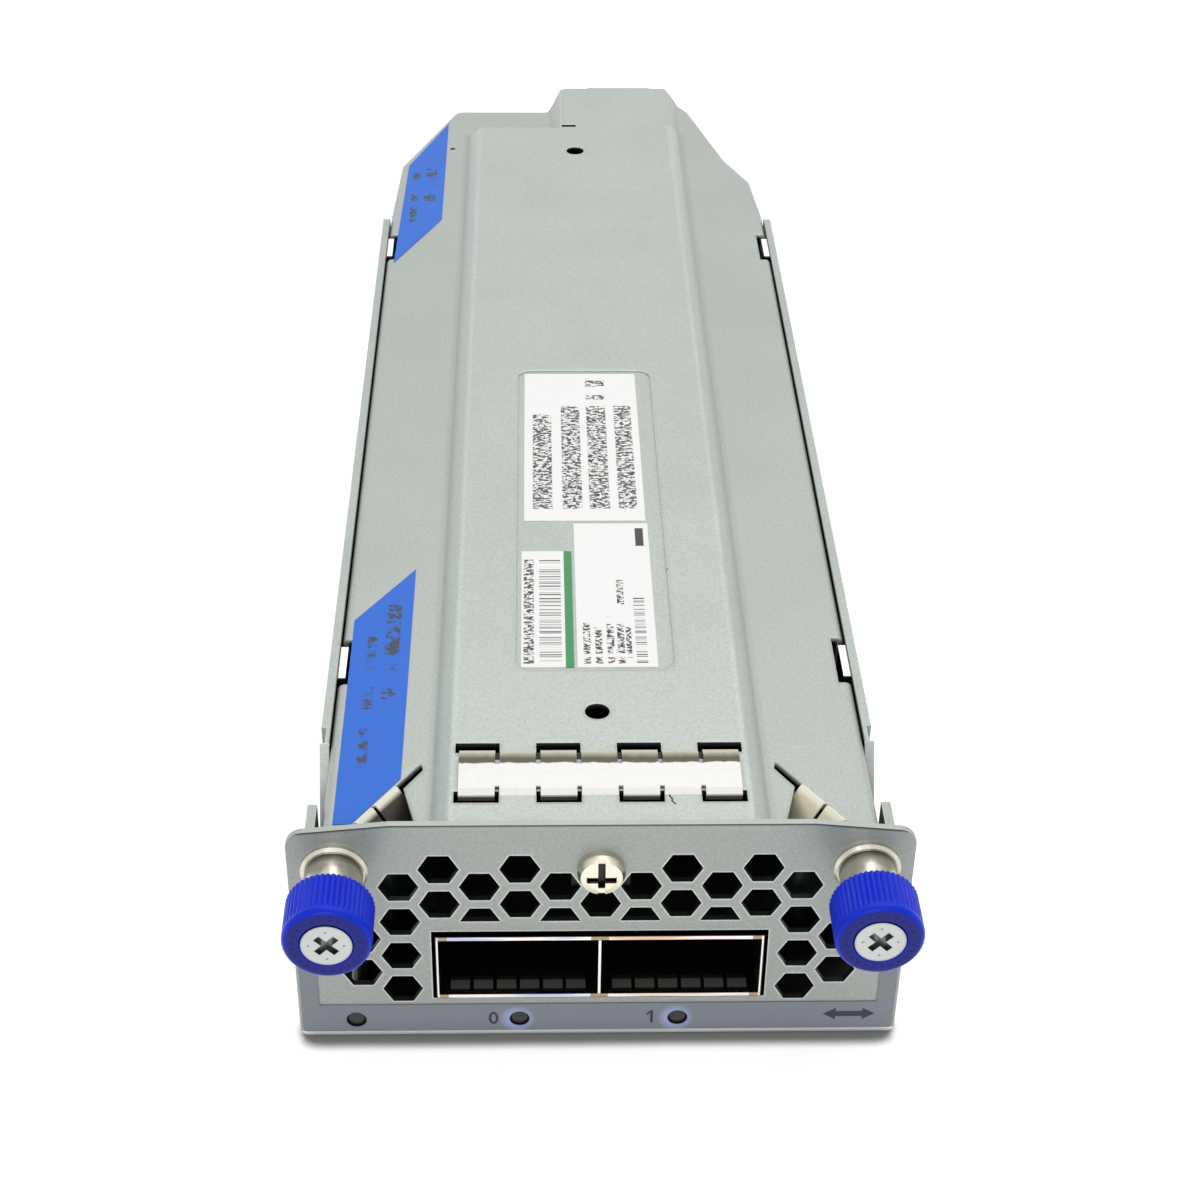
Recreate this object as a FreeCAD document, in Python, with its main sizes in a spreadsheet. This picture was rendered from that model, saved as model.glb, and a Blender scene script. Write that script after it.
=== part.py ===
import FreeCAD, Part
import math
import os
import re
import Sketcher

# Chassis encryption module: a shielded steel box with a vented face plate, two ports and two
# captive thumbscrews. Millimetres. X runs across the face, +Y runs back from the face and +Z is up.
# Pieces are drawn with the face plate's front at y = 0 and its lower edge at z = 0. Each finished
# piece is then moved along Y, so that the origin lies under the middle of the whole module.

os.makedirs("parts", exist_ok=True)
doc = FreeCAD.newDocument("encryption_module")

SIZES = {
    # face plate
    "plate_width": 71.3, "plate_height": 33.5, "plate_thick": 0.8, "plate_corner": 2.2,
    "crest_width": 48.0, "crest_drop": 1.2, "foot_notch": 1.2, "foot_bend": 0.9,
    "lip_depth": 9.0,
    # vent holes: hexagons in columns, with the top row level with the screws
    "hex_pitch": 5.35, "hex_flat": 4.1, "screw_drop": 6.6,
    # port window and port lights
    "window_side": 0.45, "window_under": 0.3, "window_over": 0.5,
    "light_level": 3.15, "light_gap": 0.1, "status_edge": 6.75, "port_light_x": 9.45,
    # printed film on the face
    "film_thick": 0.12, "film_top": 5.6, "film_side": 2.5, "film_gap": 0.35, "film_rise": 14.0,
    # cover
    "plate_overhang": 3.75, "sheet": 0.8, "flange_drop": 3.1, "joggle": 2.0, "plateau_half": 17.45,
    "skirt": 8.0, "bend": 1.0, "corner": 2.0, "shoulder_y": 164.0, "left_shoulder_in": 0.9,
    "left_shoulder_y": 184.0, "rear_left_in": 9.9, "rear_left_y": 208.3, "tongue_x": 4.45,
    "tongue_chamfer": 2.4, "tongue_y": 214.2, "right_1_in": 13.5, "right_2_in": 10.1, "right_2_y": 208.4,
    "right_3_in": 4.7, "right_3_y": 186.4, "right_4_in": 1.0, "right_4_y": 177.4,
    "plateau_rear": 195.8, "plateau_cut": 1.9, "hem_half": 5.9, "hem_x": 8.7, "hem_step": 1.2,
    "recess_half": 9.9, "recess_front": 30.4, "recess_rear": 105.2, "recess_deep": 0.25,
    "front_hole_r": 1.5, "front_hole_y": 22.0, "rear_hole_r": 1.55, "rear_hole_y": 185.5,
    "relief_x": 2.3, "relief_wide": 2.6, "relief_y": 196.2, "relief_long": 0.9,
    "tab_half": 3.4, "tab_reach": 3.3,
    # side windows and the tray's hooks in them
    "hook_front_y": 34.9, "hook_rear_y": 151.0, "window_long": 9.4, "window_deep": 1.7,
    "hook_long": 6.4, "hook_thick": 1.0, "hook_low": 24.5,
    # gasket strip on the cover
    "finger_pitch": 4.75, "finger_slit": 0.55, "gasket_foil": 0.18, "gasket_crest": 0.9,
    "gasket_front": 6.5, "gasket_rear": 14.6, "slot_wide": 5.2, "slot_rear_y": 14.2, "slot_rear_long": 1.8,
    "slot_front_y": 5.2, "slot_front_long": 2.0,
    # diagonal corner slots, front notches and their spring clips
    "diag_inner": 11.0, "diag_in_y": 14.8, "diag_outer": 3.6, "diag_out_y": 3.8, "diag_wide": 0.9,
    "notch_front": 11.6, "notch_back": 9.1, "notch_back_y": 10.2, "clip_foil": 0.2,
    "clip_start": 5.4, "clip_wide": 4.1, "clip_slit": 0.5, "clip_second": 3.1, "clip_drop": 4.6,
    "clip_root": 1.4, "clip_reach": 3.75, "clip_curl": 1.4, "clip_ease": 0.05,
    # tray
    "rail_gap": 0.1, "rail_thick": 1.2, "floor_thick": 1.0, "rail_front": 13.5, "rail_step": 18.8,
    "rail_full": 21.7, "rail_rear": 161.8, "rail_dip": 8.0, "rail_low": 3.0,
    "ear_gap": 0.8, "ear_thick": 1.1, "ear_rear": 8.2, "ear_drop": 0.7, "nose_wall": 0.8,
    "slip": 0.15,
    # ports
    "cage_half": 19.2, "cage_low": 6.9, "cage_high": 16.8, "cage_out": 0.4, "cage_rear": 48.0,
    "cage_sheet": 0.3, "cage_hem": 0.3, "cage_hem_long": 0.5, "cage_finger": 2.3, "cage_finger_pitch": 2.75,
    "cage_finger_long": 2.4, "cage_finger_high": 0.45, "socket_front": 30.0, "socket_rear": 44.0,
    "socket_high": 6.4, "socket_side": 1.3, "socket_slot": 1.3, "socket_slot_deep": 5.0,
    # board and what it carries
    "board_gap": 0.35, "board_thick": 1.6, "board_front": 16.5, "board_tongue_half": 19.4,
    "board_tongue_front": 2.6, "board_inset": 3.0, "chip_side": 27.0, "chip_high": 2.6, "chip_y": 104.0,
    "pad_high": 0.5, "sink_side": 33.0, "sink_base": 3.0, "sink_gap": 2.4, "sink_fins": 11.0,
    "fin_thick": 1.2, "memory_edge": 2.3, "memory_gap": 1.0, "memory_long": 9.0,
    "memory_high": 1.1,
    "choke_side": 10.0, "choke_high": 5.0, "cap_r": 3.2, "cap_high": 8.0, "crystal_wide": 5.0,
    "crystal_long": 3.2, "crystal_high": 1.1, "pillar_r": 2.6, "pillar_edge": 3.3, "pillar_front": 24.0,
    "pillar_rear": 172.0, "stud_r": 1.25, "stud_head_r": 2.5, "stud_head": 1.6,
    # rear connectors
    "plug_low_x": 0.6, "plug_in": 2.8, "plug_front": 188.0, "plug_high": 12.0, "plug_wall": 1.4,
    "plug_mouth": 6.0, "guide_in": 9.0, "guide_half": 4.0, "guide_front": 192.0, "guide_bore": 2.0,
    "guide_deep": 12.0, "opening_gap": 0.3,
    # light pipes
    "pipe_r": 1.1, "pipe_start": 0.15, "pipe_rear": 20.5, "pipe_foot": 3.0,
    # labels
    "label_thick": 0.1, "warning_left": 8.9, "warning_right": 7.6, "warning_front": 64.2,
    "rating_left": 2.2, "rating_right": 7.8, "serial_right": 2.6, "serial_rear": 56.8, "label_margin": 0.7,
    "blue_inner": 8.7, "blue_outer": 1.3, "blue_front_y": 3.8, "blue_front_in_y": 11.9,
    "blue_step": 3.4, "blue_mid_y": 43.6, "blue_end_y": 55.2, "blue_rear_front": 161.4,
    "blue_rear_out": 145.0, "blue_rear_mid": 183.2, "blue_rear_end": 202.0,
    # thumbscrews
    "thumb_edge": 5.35, "collar_r": 3.85, "collar_high": 0.8, "collar_round": 0.35, "barrel_r": 3.35,
    "barrel_out": 6.2, "barrel_wall": 0.65, "barrel_floor": 0.5, "pilot_r": 2.4, "pilot_in": 1.3,
    "shank_r": 1.2, "thread_r": 1.5, "thread_end": 6.2, "thread_start": 2.3, "running": 0.06,
    "knob_r": 5.0, "knob_in": 5.7, "knob_out": 12.2, "knob_round": 1.0,
    "knob_floor": 10.8, "rib_count": 48.0, "rib_r": 0.2, "rib_end": 10.3, "dimple_count": 24.0,
    "dimple_r": 0.15, "dimple_ring": 3.75, "dimple_deep": 0.2, "head_r": 2.85, "head_gap": 0.12,
    "head_high": 0.9, "drive_arm": 1.55, "drive_half": 0.42, "drive_deep": 0.6, "mark_ring": 1.95,
    "mark_r": 0.14, "mark_deep": 0.15, "washer_r": 2.3, "washer_thick": 0.4, "spring_wire": 0.32,
    "spring_r": 1.86, "spring_turns": 9.0,
    # middle screw
    "pan_r": 2.75, "pan_high": 2.0, "pan_round": 1.2, "pan_arm": 1.7, "pan_half": 0.42, "pan_deep": 1.4,
    "pan_slot_half": 0.42, "pan_slot_deep": 0.8,
    "pan_shank": 1.5, "pan_end": 5.0,
}

sheet = doc.addObject("Spreadsheet::Sheet", "Dims")
for row, (alias, value) in enumerate(SIZES.items(), start=1):
    sheet.set(f"A{row}", alias)
    sheet.set(f"B{row}", str(value))
    sheet.setAlias(f"B{row}", alias)
doc.recompute()

BOARD_TOP = "cage_low"
BOARD_LOW = "(cage_low - board_thick)"
# The whole module is moved back or forward by this much, so that it is centred on the origin.
CENTRED = "(knob_out - tongue_y - hem_step) / 2"
# Sizes that follow from others, so that what fits together stays together.
FITTED = {
    "cover_half": "(plate_width / 2 - plate_overhang)",
    "rail_inner": "(cover_half + rail_gap)",
    "rail_outer": "(rail_inner + rail_thick)",
    "rail_top": "(flange_top - rail_gap)",
    "ear_outer": "(cover_half + ear_gap + ear_thick)",
    "ear_top": "(flange_top - ear_drop)",
    "lip_width": "(2 * ear_outer)",
    "flange_top": "(plate_height - flange_drop)",
    "screw_level": "(plate_height - screw_drop)",
    "thumb_x": "(plate_width / 2 - thumb_edge)",
    "status_light_x": "(plate_width / 2 - status_edge)",
    "light_hole": "(pipe_r + light_gap)",
    "tab_low": "(screw_level - tab_reach)",
    "rear_left_x": "(cover_half - rear_left_in)",
    "right_1_x": "(cover_half - right_1_in)",
    "right_2_x": "(cover_half - right_2_in)",
    "right_3_x": "(cover_half - right_3_in)",
    "diag_in_x": "(cover_half - diag_inner)",
    "diag_out_x": "(cover_half - diag_outer)",
    "notch_front_x": "(cover_half - notch_front)",
    "notch_back_x": "(cover_half - notch_back)",
    "board_half": "(cover_half - sheet - slip - nose_wall - board_gap)",
    "pillar_x": "(board_half - pillar_edge)",
    "sink_top": "(flange_top - sink_gap)",
    "memory_wide": "(board_half - memory_edge - memory_gap - sink_side / 2)",
    "plug_high_x": "(right_1_x - plug_in)",
    "guide_x": "(rear_left_x - guide_in)",
    "blue_in_x": "(cover_half - blue_inner)",
    "blue_out_x": "(cover_half - blue_outer)",
    "blue_step_x": "(cover_half - blue_step)",
    "knob_hollow": "(barrel_r + running)",
}
WORD = re.compile(r"[a-z][a-z_0-9]*[a-z0-9]")
# Corners and circles of a sketch start here, and its constraints then move them to their places.
START_RING = 20.0
START_CIRCLE = 3.0
START_RADIUS = 0.2
nodes = []


def link(text):
    """Turn a formula of plain size names into one that reads the sheet."""
    def swap(found):
        word = found.group(0)
        if word in FITTED:
            return link(FITTED[word])
        return "Dims." + word if word in SIZES else word
    return WORD.sub(swap, text)


def size(alias):
    return float(sheet.get(alias))


def cover_half_now():
    return size("plate_width") / 2 - size("plate_overhang")


def flange_top_now():
    return size("plate_height") - size("flange_drop")


def bind(item, prop, text):
    item.setExpression(prop, link(text))


def put(item, x="0", y="0", z="0"):
    for axis, text in (("x", x), ("y", y), ("z", z)):
        bind(item, "Placement.Base." + axis, text)
    return item


def node(item, name, x="0", z="0"):
    """Name a finished piece and move it to its place in the module's own frame."""
    if item.TypeId in ("Part::Box", "Part::Cylinder", "Part::Feature"):
        item = group(name, [item])
    item.Label = name
    put(item, x, CENTRED, z)
    nodes.append((name, item))


def block(name, x, y, z):
    """A box from its lowest and highest x, y and z."""
    item = doc.addObject("Part::Box", name)
    put(item, x[0], y[0], z[0])
    bind(item, "Length", f"({x[1]}) - ({x[0]})")
    bind(item, "Width", f"({y[1]}) - ({y[0]})")
    bind(item, "Height", f"({z[1]}) - ({z[0]})")
    return item


TURNS = {
    "X": FreeCAD.Rotation(FreeCAD.Vector(0, 1, 0), 90),
    "Y": FreeCAD.Rotation(FreeCAD.Vector(1, 0, 0), -90),
    "Z": FreeCAD.Rotation(),
}


def rod(name, axis, radius, low, high, x="0", y="0", z="0"):
    """A cylinder along an axis from low to high, through the other two coordinates."""
    item = doc.addObject("Part::Cylinder", name)
    item.Placement.Rotation = TURNS[axis]
    put(item, low if axis == "X" else x, low if axis == "Y" else y, low if axis == "Z" else z)
    bind(item, "Radius", radius)
    bind(item, "Height", f"({high}) - ({low})")
    return item


def ring_of_points(count):
    """Spread starting points, which the constraints then move to their places."""
    turn = 2 * math.pi / count
    return [FreeCAD.Vector(START_RING * math.cos(turn * i), START_RING * math.sin(turn * i), 0)
            for i in range(count)]


def draw(sketch, points):
    """Draw a closed polygon whose corner coordinates are formulas of the sizes."""
    start = ring_of_points(len(points))
    for i in range(len(points)):
        sketch.addGeometry(Part.LineSegment(start[i], start[(i + 1) % len(points)]), False)
    for i in range(len(points)):
        sketch.addConstraint(Sketcher.Constraint("Coincident", i, 2, (i + 1) % len(points), 1))
    for i, pair in enumerate(points):
        for kind, text, guess, axis in zip(("DistanceX", "DistanceY"), pair, start[i], (-2, -1)):
            if text == "0":
                sketch.addConstraint(Sketcher.Constraint("PointOnObject", i, 1, axis))
            else:
                index = sketch.addConstraint(Sketcher.Constraint(kind, -1, 1, i, 1, guess))
                bind(sketch, f"Constraints[{index}]", text)


PLANES = {
    "XY": (FreeCAD.Rotation(), FreeCAD.Vector(0, 0, 1), "z"),
    "XZ": (FreeCAD.Rotation(FreeCAD.Vector(1, 0, 0), 90), FreeCAD.Vector(0, 1, 0), "y"),
    "YZ": (FreeCAD.Rotation(FreeCAD.Vector(1, 1, 1), 120), FreeCAD.Vector(1, 0, 0), "x"),
}


def prism(name, plane, points, low, high, taper=0):
    """A polygon on a plane, drawn out along the plane's normal from low to high."""
    turn, direction, axis = PLANES[plane]
    sketch = doc.addObject("Sketcher::SketchObject", name + "_outline")
    sketch.Placement.Rotation = turn
    put(sketch, **{axis: low})
    draw(sketch, points)
    item = doc.addObject("Part::Extrusion", name)
    item.Base = sketch
    item.DirMode = "Custom"
    item.Dir = direction
    item.Solid = True
    item.TaperAngle = taper
    bind(item, "LengthFwd", f"({high}) - ({low})")
    return item


def union(name, pieces):
    item = doc.addObject("Part::MultiFuse", name)
    item.Shapes = pieces
    item.Refine = True
    return item


def less(name, base, tools):
    """Cut one or more tools from a base."""
    item = doc.addObject("Part::Cut", name)
    item.Base = base
    item.Tool = tools[0] if len(tools) == 1 else union(name + "_tools", tools)
    item.Refine = True
    return item


def shared(name, first, second):
    item = doc.addObject("Part::Common", name)
    item.Base = first
    item.Tool = second
    item.Refine = True
    return item


def group(name, pieces):
    item = doc.addObject("Part::Compound", name)
    item.Links = pieces
    return item


def rounded(name, base, radius, wanted):
    """Round the edges that a test picks, by the radius that the sheet gives."""
    doc.recompute()
    item = doc.addObject("Part::Fillet", name)
    item.Base = base
    picked = [i for i, edge in enumerate(base.Shape.Edges, start=1) if wanted(edge)]
    item.Edges = [(i, size(radius), size(radius)) for i in picked]
    return item


def span(side, near, far):
    """Lowest and highest x of a piece that lies from near to far on one side of the middle."""
    return (f"-({far})", f"-({near})") if side == "-" else (near, far)


def upright(edge):
    box = edge.BoundBox
    return box.ZLength > 1e-3 and box.XLength < 1e-3 and box.YLength < 1e-3


def level(edge, height):
    box = edge.BoundBox
    return abs(box.ZMin - height) < 1e-3 and abs(box.ZMax - height) < 1e-3


# Turned and patterned pieces are bodies with their axis along their own Y.


def body_plane(body, role):
    return next(item for item in body.Origin.OriginFeatures if item.Role == role)


def body_sketch(body, name, role, lift="0", turn=0):
    sketch = body.newObject("Sketcher::SketchObject", name)
    sketch.AttachmentSupport = (body_plane(body, role), [""])
    sketch.MapMode = "FlatFace"
    sketch.AttachmentOffset = FreeCAD.Placement(FreeCAD.Vector(), FreeCAD.Rotation(turn, 0, 0))
    bind(sketch, "AttachmentOffset.Base.z", lift)
    return sketch


def turned(name, profile):
    """A body turned about its Y axis from corners given as radius and y."""
    body = doc.addObject("PartDesign::Body", name + "_body")
    sketch = body_sketch(body, name + "_profile", "XY_Plane")
    draw(sketch, profile)
    turn = body.newObject("PartDesign::Revolution", name + "_turning")
    turn.Profile = sketch
    turn.ReferenceAxis = (sketch, ["V_Axis"])
    turn.Angle = 360
    return body


def circle(sketch, ring, radius):
    middle = FreeCAD.Vector(0, START_CIRCLE, 0)
    index = sketch.addGeometry(Part.Circle(middle, FreeCAD.Vector(0, 0, 1), START_RADIUS), False)
    sketch.addConstraint(Sketcher.Constraint("PointOnObject", index, 3, -2))
    far = sketch.addConstraint(Sketcher.Constraint("DistanceY", -1, 1, index, 3, START_CIRCLE))
    bind(sketch, f"Constraints[{far}]", ring)
    wide = sketch.addConstraint(Sketcher.Constraint("Radius", index, START_RADIUS))
    bind(sketch, f"Constraints[{wide}]", radius)


def pocket(body, name, sketch, deep, forward=False):
    cut = body.newObject("PartDesign::Pocket", name)
    cut.Profile = sketch
    cut.Reversed = forward
    bind(cut, "Length", deep)
    return cut


def around(body, name, feature, sketch, count):
    pattern = body.newObject("PartDesign::PolarPattern", name)
    pattern.Originals = [feature]
    pattern.Axis = (sketch, ["N_Axis"])
    pattern.Angle = 360
    bind(pattern, "Occurrences", count)
    body.Tip = pattern


def cross(arm, half):
    """Corners of a plus sign from its arm's length and half width."""
    corners = []
    for one, two in (("", ""), ("", "-"), ("-", "-"), ("-", "")):
        first = [(f"{one}{half}", f"{two}{half}")]
        along = [(f"{one}{arm}", f"{two}{half}")]
        across = [(f"{one}{half}", f"{two}{arm}")]
        corners += across + first + along if (one == "") == (two == "") else along + first + across
    return corners


# Face plate: one bent sheet with a lower lip, vent hexagons, the port window and round holes.

PLATE_SLOPE = [
    ("-plate_width / 2 + foot_notch", "0"),
    ("plate_width / 2 - foot_notch", "0"),
    ("plate_width / 2", "foot_notch"),
    ("plate_width / 2", "plate_height - crest_drop"),
    ("crest_width / 2", "plate_height"),
    ("-crest_width / 2", "plate_height"),
    ("-plate_width / 2", "plate_height - crest_drop"),
    ("-plate_width / 2", "foot_notch"),
]
HEX_FULL = [(column, 0) for column in (-4, -2, 2, 4)]
HEX_FULL += [(column, 1) for column in (-5, -3, -1, 1, 3, 5)]
HEX_FULL += [(column, 2) for column in (-4, -2, 0, 2, 4)]
HEX_FULL += [(side * 5, row) for side in (-1, 1) for row in (3, 5, 7)]
HEX_FULL += [(side * 6, row) for side in (-1, 1) for row in (4, 6)]
HEX_HALF = [(column, 3) for column in (-3, -1, 1, 3)]


def hexagon(name, column, row):
    """A vent hole that lies a number of columns out and half rows down from the top row."""
    item = doc.addObject("Part::Prism", name)
    item.Polygon = 6
    item.Placement.Rotation = TURNS["Y"]
    bind(item, "Circumradius", "hex_flat / sqrt(3)")
    bind(item, "Height", "3 * plate_thick")
    put(item, f"{column} * hex_pitch * sqrt(3) / 2", "-plate_thick", f"screw_level - {row} * hex_pitch / 2")
    return item


def face_plate():
    sheet_metal = prism("plate_blank", "XZ", PLATE_SLOPE, "0", "plate_thick")
    corners = rounded(
        "plate_rounded", sheet_metal, "plate_corner",
        lambda edge: edge.BoundBox.YLength > 0.5 * size("plate_thick")
        and edge.BoundBox.ZLength < 1e-3
        and edge.BoundBox.ZMin > size("plate_height") / 2
        and abs(edge.BoundBox.XMin) > size("plate_width") / 2 - 1e-3,
    )
    lip = block("plate_lip", ("-lip_width / 2", "lip_width / 2"), ("0", "lip_depth"), ("0", "plate_thick"))
    bent = union("plate_bent", [corners, lip])
    eased = rounded(
        "plate_eased", bent, "foot_bend",
        lambda edge: level(edge, 0) and edge.BoundBox.YMax < 1e-3 and edge.BoundBox.XLength > size("plate_width") / 2,
    )
    tools = [hexagon(f"vent_{i}", column, row) for i, (column, row) in enumerate(HEX_FULL)]
    lower_half = block(
        "vent_floor", ("-plate_width / 2", "plate_width / 2"), ("-2 * plate_thick", "3 * plate_thick"),
        ("screw_level - 3 * hex_pitch / 2 - hex_flat", "screw_level - 3 * hex_pitch / 2"),
    )
    halves = union("vent_row", [hexagon(f"half_vent_{i}", column, row) for i, (column, row) in enumerate(HEX_HALF)])
    tools.append(less("vent_halves", halves, [lower_half]))
    tools.append(block(
        "port_window", ("-cage_half - window_side", "cage_half + window_side"), ("-plate_thick", "2 * plate_thick"),
        ("cage_low - window_under", "cage_high + window_over"),
    ))
    for i, x in enumerate(("-status_light_x", "-port_light_x", "port_light_x")):
        tools.append(rod(f"light_hole_{i}", "Y", "light_hole", "-plate_thick", "2 * plate_thick", x, z="light_level"))
    for i, x in enumerate(("-thumb_x", "thumb_x")):
        tools.append(rod(f"collar_hole_{i}", "Y", "pilot_r", "-plate_thick", "2 * plate_thick", x, z="screw_level"))
    tools.append(rod("pan_hole", "Y", "pan_shank + light_gap", "-plate_thick", "2 * plate_thick", z="screw_level"))
    node(less("face_plate", eased, tools), "face_plate")


def face_film():
    """The printed film: a band under the ports that turns up at both sides."""
    outer = block("film_band", ("-plate_width / 2 + film_gap", "plate_width / 2 - film_gap"),
                  ("-film_thick", "0"), ("foot_bend + film_gap", "film_rise"))
    inner = block("film_opening", ("-plate_width / 2 + film_side", "plate_width / 2 - film_side"),
                  ("-2 * film_thick", "film_thick"), ("film_top", "film_rise + 1"))
    tools = [inner]
    for i, side in enumerate(("-", "")):
        tools.append(prism(f"film_foot_{i}", "XZ", [
            (f"{side}(plate_width / 2 - foot_notch - film_gap)", "0"),
            (f"{side}(plate_width / 2)", "0"),
            (f"{side}(plate_width / 2)", "foot_notch + film_gap"),
            (f"{side}(plate_width / 2 - film_gap)", "foot_notch + film_gap"),
        ], "-2 * film_thick", "film_thick"))
    for i, x in enumerate(("-status_light_x", "-port_light_x", "port_light_x")):
        tools.append(rod(f"film_hole_{i}", "Y", "light_hole", "-plate_thick", "plate_thick", x, z="light_level"))
    node(less("face_film", outer, tools), "face_film")


# Cover: a folded sheet with skirts. Its middle is raised by a joggle on both sides.


def cover_outline(inset):
    """Corners of the cover seen from above, moved in by an inset."""
    inset = f"({inset})"
    half = f"(cover_half - {inset})"
    return [
        (f"-{half}", "plate_thick"),
        (f"-{half}", "shoulder_y"),
        (f"-({half} - left_shoulder_in)", "left_shoulder_y"),
        (f"-(rear_left_x - {inset})", f"rear_left_y - {inset}"),
        (f"-(tongue_x - {inset})", f"rear_left_y - {inset}"),
        (f"-(tongue_x - tongue_chamfer - {inset})", f"tongue_y - {inset}"),
        (f"right_1_x - {inset}", f"tongue_y - {inset}"),
        (f"right_2_x - {inset}", "right_2_y"),
        (f"right_3_x - {inset}", "right_3_y"),
        (f"{half} - right_4_in", "right_4_y"),
        (half, "shoulder_y"),
        (half, "plate_thick"),
    ]


def plateau_outline(grow):
    """Corners of the raised middle at flange level. It runs past the cover at the front and back."""
    wide = f"(plateau_half + joggle + {grow})"
    return [
        (f"-{wide}", "-10 * sheet"),
        (wide, "-10 * sheet"),
        (wide, "tongue_y + 10 * sheet"),
        (f"-(tongue_x + {grow})", "tongue_y + 10 * sheet"),
        (f"-(tongue_x + {grow})", f"plateau_rear + joggle + {grow}"),
        (f"-({wide} - plateau_cut)", f"plateau_rear + joggle + {grow}"),
        (f"-{wide}", f"plateau_rear + joggle + {grow} - plateau_cut"),
    ]


COVER_LOW = "(flange_top - skirt)"
PLATEAU = "(flange_top + joggle)"
# A wall that slopes at 45 degrees keeps its thickness when its inner face moves in by this share.
SLOPE_SHARE = "(-(sqrt(2) - 1) * sheet)"


def raised(name, inset, grow, top, low):
    """The cover's outer or inner form: the slab under the flange with the raised middle on it."""
    reach = "2 * plate_width"
    slab = block(name + "_slab", (f"-{reach}", reach), (f"-{reach}", "tongue_y + " + reach), (low, f"flange_top - {top}"))
    middle = prism(name + "_middle", "XY", plateau_outline(grow), f"flange_top - {top}", f"{PLATEAU} - {top}", -45)
    column = prism(name + "_column", "XY", cover_outline(inset), low, PLATEAU)
    return shared(name, column, union(name + "_stack", [slab, middle]))


def diagonal(side, along, inward, lift="0"):
    """A point by its distance along the corner slot from its inner end, and in from the slot."""
    run = "sqrt((diag_out_x - diag_in_x)^2 + (diag_in_y - diag_out_y)^2)"
    go_x = f"((diag_out_x - diag_in_x) / {run})"
    go_y = f"((diag_out_y - diag_in_y) / {run})"
    x = f"{side}(diag_in_x + ({along}) * {go_x} + ({inward}) * {go_y})"
    y = f"diag_in_y + ({along}) * {go_y} - ({inward}) * {go_x} + {lift}"
    return x, y


def corner_cut(i, side):
    """The slanted slot over a corner clip, and the notch in the front edge that it opens into."""
    high = f"{PLATEAU} + sheet"
    low = f"{COVER_LOW} + 2 * sheet"
    slot = prism(f"corner_slot_{i}", "XY", [
        diagonal(side, "0", "0"),
        (f"{side}diag_out_x", "diag_out_y"),
        (f"{side}(diag_out_x - diag_wide)", "diag_out_y - 1"),
        diagonal(side, "diag_wide", "diag_wide"),
    ], low, high)
    notch = prism(f"corner_notch_{i}", "XY", [
        diagonal(side, "clip_start - clip_slit", "0"),
        (f"{side}diag_out_x", "diag_out_y"),
        (f"{side}diag_out_x", "0"),
        (f"{side}notch_front_x", "0"),
        (f"{side}notch_back_x", "notch_back_y"),
    ], low, high)
    return [slot, notch]


def cover_slots():
    """The two rows of slots that the gasket strip hooks into."""
    slots = []
    for i, place in enumerate((-3, -1, 1, 3)):
        for row, (front, long) in enumerate((("slot_rear_y", "slot_rear_long"), ("slot_front_y", "slot_front_long"))):
            slots.append(block(
                f"gasket_slot_{i}_{row}",
                (f"{place} * finger_pitch - slot_wide / 2", f"{place} * finger_pitch + slot_wide / 2"),
                (front, f"{front} + {long}"), (f"{PLATEAU} - 2 * sheet", f"{PLATEAU} + sheet"),
            ))
    return slots


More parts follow.
